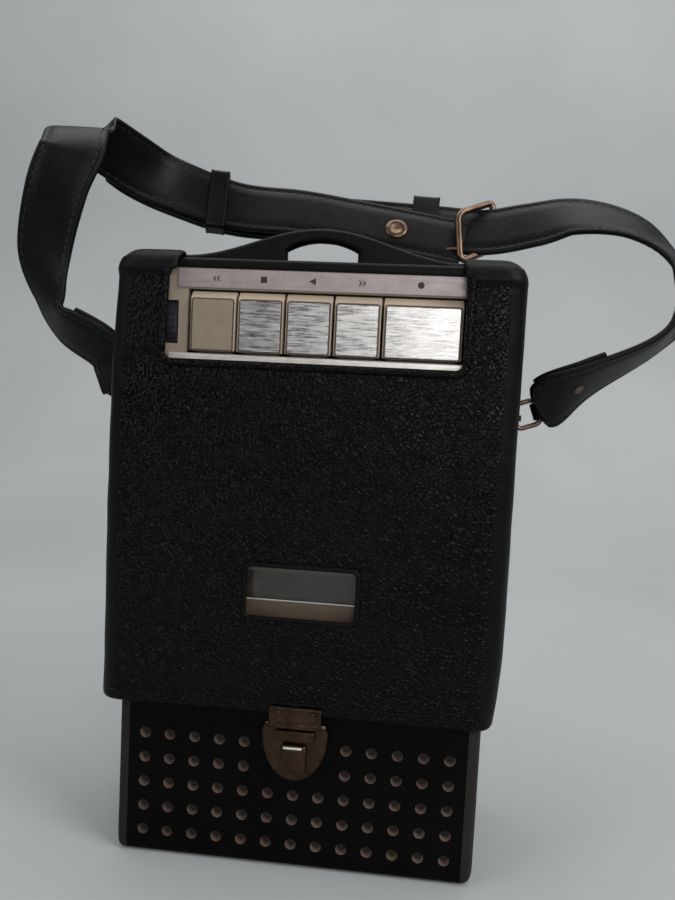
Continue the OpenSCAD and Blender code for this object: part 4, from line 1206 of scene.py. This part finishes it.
def make_tail(name, frames, first, last):
    """The strap's end, turned back round its ring and sewn on: a second, shorter layer."""
    rings = []
    steps = len(frames) - 1
    for i in range(first, last + 1):
        p, across, outward, along = frames[i]
        section = strap_section(strap_half(i, steps, first < steps / 2) + TAIL_WIDER)
        rings.append([p + across * s + outward * (o * TAIL_THIN - TAIL_BEHIND) for s, o in section])
    strap_solid(name, rings)


def make_strap_loop(name, side):
    """The end of the strap, turned round the outer bar of its ring."""
    turn = Matrix.Rotation(-side * RING_TILT, 3, "Y")
    centre = Vector((side * RING_OUT.x, RING_OUT.y, RING_OUT.z))
    bend = [math.radians(a) for a in range(60, 301, 20)]
    outline = [(math.cos(a) * LOOP_BEND_R, math.sin(a) * LOOP_BEND_R) for a in bend]
    outline += [(2.4, -1.9), (3.6, -1.5), (4.0, 0), (3.6, 1.5), (2.4, 1.9)]
    rings = []
    for z, swell in ((-3.6, 0.85), (-3.2, 0.97), (0, 1.0), (3.2, 0.97), (3.6, 0.85)):
        rings.append([centre + turn @ Vector((side * u, w * swell, z)) for u, w in outline])
    subdivide(solid(name, rings, "strap", strap_leather, "strap_leather"))


def make_keeper(name, frame_at, width, stand, depth, lean=0.0):
    """A leather loop that stands out at the strap's edges; depth is how far its middle is behind."""
    p, across, outward, along = frame_at
    turn = Matrix.Rotation(lean, 3, outward)
    along, across = turn @ along, turn @ across
    p = p + outward * depth
    outline = plate_outline(STRAP_W + 2 * stand, STRAP_T + 2 * (abs(depth) + KEEPER_ROOM), KEEPER_ROUND)
    edge = width / 2
    rings = []
    for w, grow in ((-edge, -0.5), (-edge + 0.5, 0.1), (0, 0.25), (edge - 0.5, 0.1), (edge, -0.5)):
        wider = [(u + math.copysign(grow, u), v + math.copysign(grow, v)) for u, v in outline]
        rings.append([p + along * w + across * u + outward * v for u, v in wider])
    obj = weld(place(name, *stack_rings(rings), "strap", strap_leather, "strap_leather"), FINE_SEAM)
    thicken(obj, KEEPER_T)
    return obj


def disc_at(p, out, steps, count=20):
    """A turned piece round an axis; steps of (radius, lift) run from its back to the middle of its face."""
    first = out.orthogonal().normalized()
    second = out.cross(first)
    rings = []
    for radius, lift in steps:
        rings.append([p + out * lift + (first * u + second * v) * radius for u, v in circle(1.0, count)])
    return stack_rings(rings, capped=True)


def make_eyelets(left, right):
    """The big eyelet of the long strap and the small rivets where the strap's ends are turned back."""
    face = STRAP_T / 2
    ring = ((4.9, 0), (5.1, 0.3), (4.7, 0.75), (3.6, 0.9), (2.2, 0.75), (1.7, 0.35), (0.4, 0.3))
    knob = ((2.0, 0), (2.0, 0.3), (1.5, 0.6), (0.4, 0.7))
    p, across, outward, along = left[EYELET_AT]
    parts = [disc_at(p - outward * face, -outward, ring)]
    for frame_at, aside in ((left[RIVET_LEFT_AT], RIVET_LEFT_ASIDE), (right[-RIVET_RIGHT_FROM_END], 0)):
        p, across, outward, along = frame_at
        parts.append(disc_at(p + across * aside + outward * face, outward, knob))
    obj = weld(place("strap_eyelets", *join_lists(parts), "strap", old_brass, "old_brass"), FINE_SEAM)
    obj.data.set_sharp_from_angle(angle=math.radians(STAMPED_CREASE))
    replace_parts(obj, "strap_rivets")


def make_buckle():
    """The wire buckle, with the strap under its first bar and over its last, and its prong."""
    low_left, low_right, high_right, high_left = (Vector(c) for c in BUCKLE_CORNERS)
    face = (low_right - low_left).cross(high_left - low_left).normalized()
    spots = []
    for a, b in plate_outline(2, 2, BUCKLE_ROUND):
        low = low_left.lerp(low_right, (a + 1) / 2)
        high = high_left.lerp(high_right, (a + 1) / 2)
        spots.append((low.lerp(high, (b + 1) / 2), face))
    section = circle(BUCKLE_WIRE_R, 12)
    wire = swept("buckle_wire", spots, section, "strap", old_brass, "old_brass", closed=True)
    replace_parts(wire, "strap_buckle")
    spots = [(Vector(p), Vector((0, -1, 0))) for p in BUCKLE_PIN]
    pin = swept("buckle_pin", spots, circle(BUCKLE_PIN_R, 8), "strap", old_brass, "old_brass")
    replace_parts(pin, "buckle_prong")


def make_straps():
    left = make_strap("strap_long", LEFT_ROUTE, True, "strap_left")
    right = make_strap("strap_short", RIGHT_ROUTE, False, "strap_right")
    make_tail("strap_tail_left", left, *TAIL_LEFT)
    make_tail("strap_tail_right", right, *(len(right) - d for d in TAIL_RIGHT_FROM_END))
    make_strap_loop("strap_loop_left", -1)
    make_strap_loop("strap_loop_right", 1)
    keeper = make_keeper("strap_keeper_loop", left[KEEPER_AT], 8.0, 2.4, 1.4, KEEPER_LEAN)
    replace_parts(keeper, "strap_keeper")
    make_keeper("buckle_keeper_loop", right[BUCKLE_KEEPER_AT], 11.5, 3.6, 0)
    make_eyelets(left, right)
    make_buckle()


# Transport symbols, the plain signs of any tape machine

SIGN_LIFT = 0.06
SIGN_HALF = 1.15
REWIND_X, STOP_X, START_X, FORWARD_X, RECORD_X = -37.3, -19.8, -1.7, 16.2, 37.6


def chevron(at, way):
    w, t, h = 0.8 * way, 0.55 * way, 0.9
    return [(at, h), (at + t, h), (at + t + w, 0), (at + t, -h), (at, -h), (at + w, 0)]


def make_signs():
    """Flat printed signs on the label strip."""
    z, s = (strip_low.z + strip_high.z) / 2, SIGN_HALF
    square = [(-s, -s), (s, -s), (s, s), (-s, s)]
    arrow = [(1.1, -1.3), (-1.3, 0), (1.1, 1.3)]
    signs = [(chevron(1.2, -1), REWIND_X), (chevron(-0.2, -1), REWIND_X),
             (square, STOP_X), (arrow, START_X),
             (chevron(-1.2, 1), FORWARD_X), (chevron(0.2, 1), FORWARD_X), (circle(1.2, 24), RECORD_X)]
    parts = []
    for outline, x in signs:
        rings = [[Vector((x + u, strip_low.y - d, z + v)) for u, v in outline] for d in (0.0, SIGN_LIFT)]
        parts.append(stack_rings(rings, capped=True))
    weld(place("transport_signs", *join_lists(parts), "case", ink, smooth=False), FINE_SEAM)


dress_nodes()
make_flap()
make_flap_fold()
make_flap_trim()
make_case_body()
make_perforated_front()
make_hole_shade()
make_lock_shield()
make_lock_pieces()
make_window_lines()
make_keys()
make_grip()
make_top_edge()
make_straps()
make_signs()

# Camera, floor and light; places and sizes of the floor and the lamps are in metres

PHOTO_FOCAL = 690.0
PHOTO_W, PHOTO_H = 675, 900
CAMERA_AT = Vector((33, -282, 181))
YAW, PITCH, ROLL = (math.radians(a) for a in (-5.1, 4.2, 2.9))
FLOOR_FRONT = -3.0
FLOOR_BACK = 0.9
FLOOR_HALF = 4.0
FLOOR_CURVE_R = 0.5
BACKDROP_H = 3.0


def make_camera():
    """The camera that was fitted to the photo; yaw turns it to the right, pitch down."""
    data = bpy.data.cameras.new("camera")
    data.sensor_width = 36
    data.lens = PHOTO_FOCAL * data.sensor_width / max(PHOTO_W, PHOTO_H)
    data.clip_start = 0.01
    camera = bpy.data.objects.new("camera", data)
    bpy.context.scene.collection.objects.link(camera)
    heading = Matrix.Rotation(-YAW, 4, "Z") @ Matrix.Rotation(math.pi / 2 - PITCH, 4, "X")
    camera.matrix_world = Matrix.Translation(CAMERA_AT * MM) @ heading @ Matrix.Rotation(ROLL, 4, "Z")
    bpy.context.scene.camera = camera


def make_floor():
    """A pale floor that curves up into a backdrop."""
    look = Look("pale_floor")
    cloud = look.noise(look.coordinates(), 3.0, 3.0)
    look.vary("Base Color", cloud, (0.3, (0.36, 0.375, 0.38)), (0.7, (0.41, 0.425, 0.43)))
    look.fix("Roughness", 0.8)
    bend, r = FLOOR_BACK - FLOOR_CURVE_R, FLOOR_CURVE_R
    turns = [math.radians(10 * k) for k in range(10)]
    line = [(FLOOR_FRONT, 0.0)] + [(bend + r * math.sin(a), r - r * math.cos(a)) for a in turns]
    line.append((FLOOR_BACK, BACKDROP_H))
    verts = [Vector((x, y, z)) / MM for y, z in line for x in (-FLOOR_HALF, FLOOR_HALF)]
    faces = [(2 * i, 2 * i + 1, 2 * i + 3, 2 * i + 2) for i in range(len(line) - 1)]
    place("floor", verts, faces, None, look.mat)


def lamp(name, at, towards, size, power):
    data = bpy.data.lights.new(name, "AREA")
    data.shape = "RECTANGLE"
    data.size, data.size_y = size
    data.energy = power
    obj = bpy.data.objects.new(name, data)
    obj.location = at
    obj.rotation_euler = (Vector(towards) - Vector(at)).to_track_quat("-Z", "Y").to_euler()
    bpy.context.scene.collection.objects.link(obj)


def make_light():
    lamp("key_light", (1.0, -0.55, 0.95), (0, 0, 0.15), (0.6, 0.6), 10)
    lamp("window_light", (0.31, -1.1, 0.42), (0.02, 0, 0.18), (0.56, 0.5), 4.1)
    lamp("fill_light", (-1.0, -0.7, 0.8), (0, 0, 0.12), (0.6, 0.6), 4)
    lamp("back_light", (0.0, 0.2, 1.5), (0, 0.3, 0.1), (1.6, 0.8), 14)
    world = bpy.data.worlds.new("world")
    world.use_nodes = True
    sky = world.node_tree.nodes["Background"]
    sky.inputs["Color"].default_value = (0.8, 0.84, 0.84, 1)
    sky.inputs["Strength"].default_value = 0.2
    bpy.context.scene.world = world


make_camera()
make_floor()
make_light()
bpy.context.scene.view_settings.view_transform = "Standard"
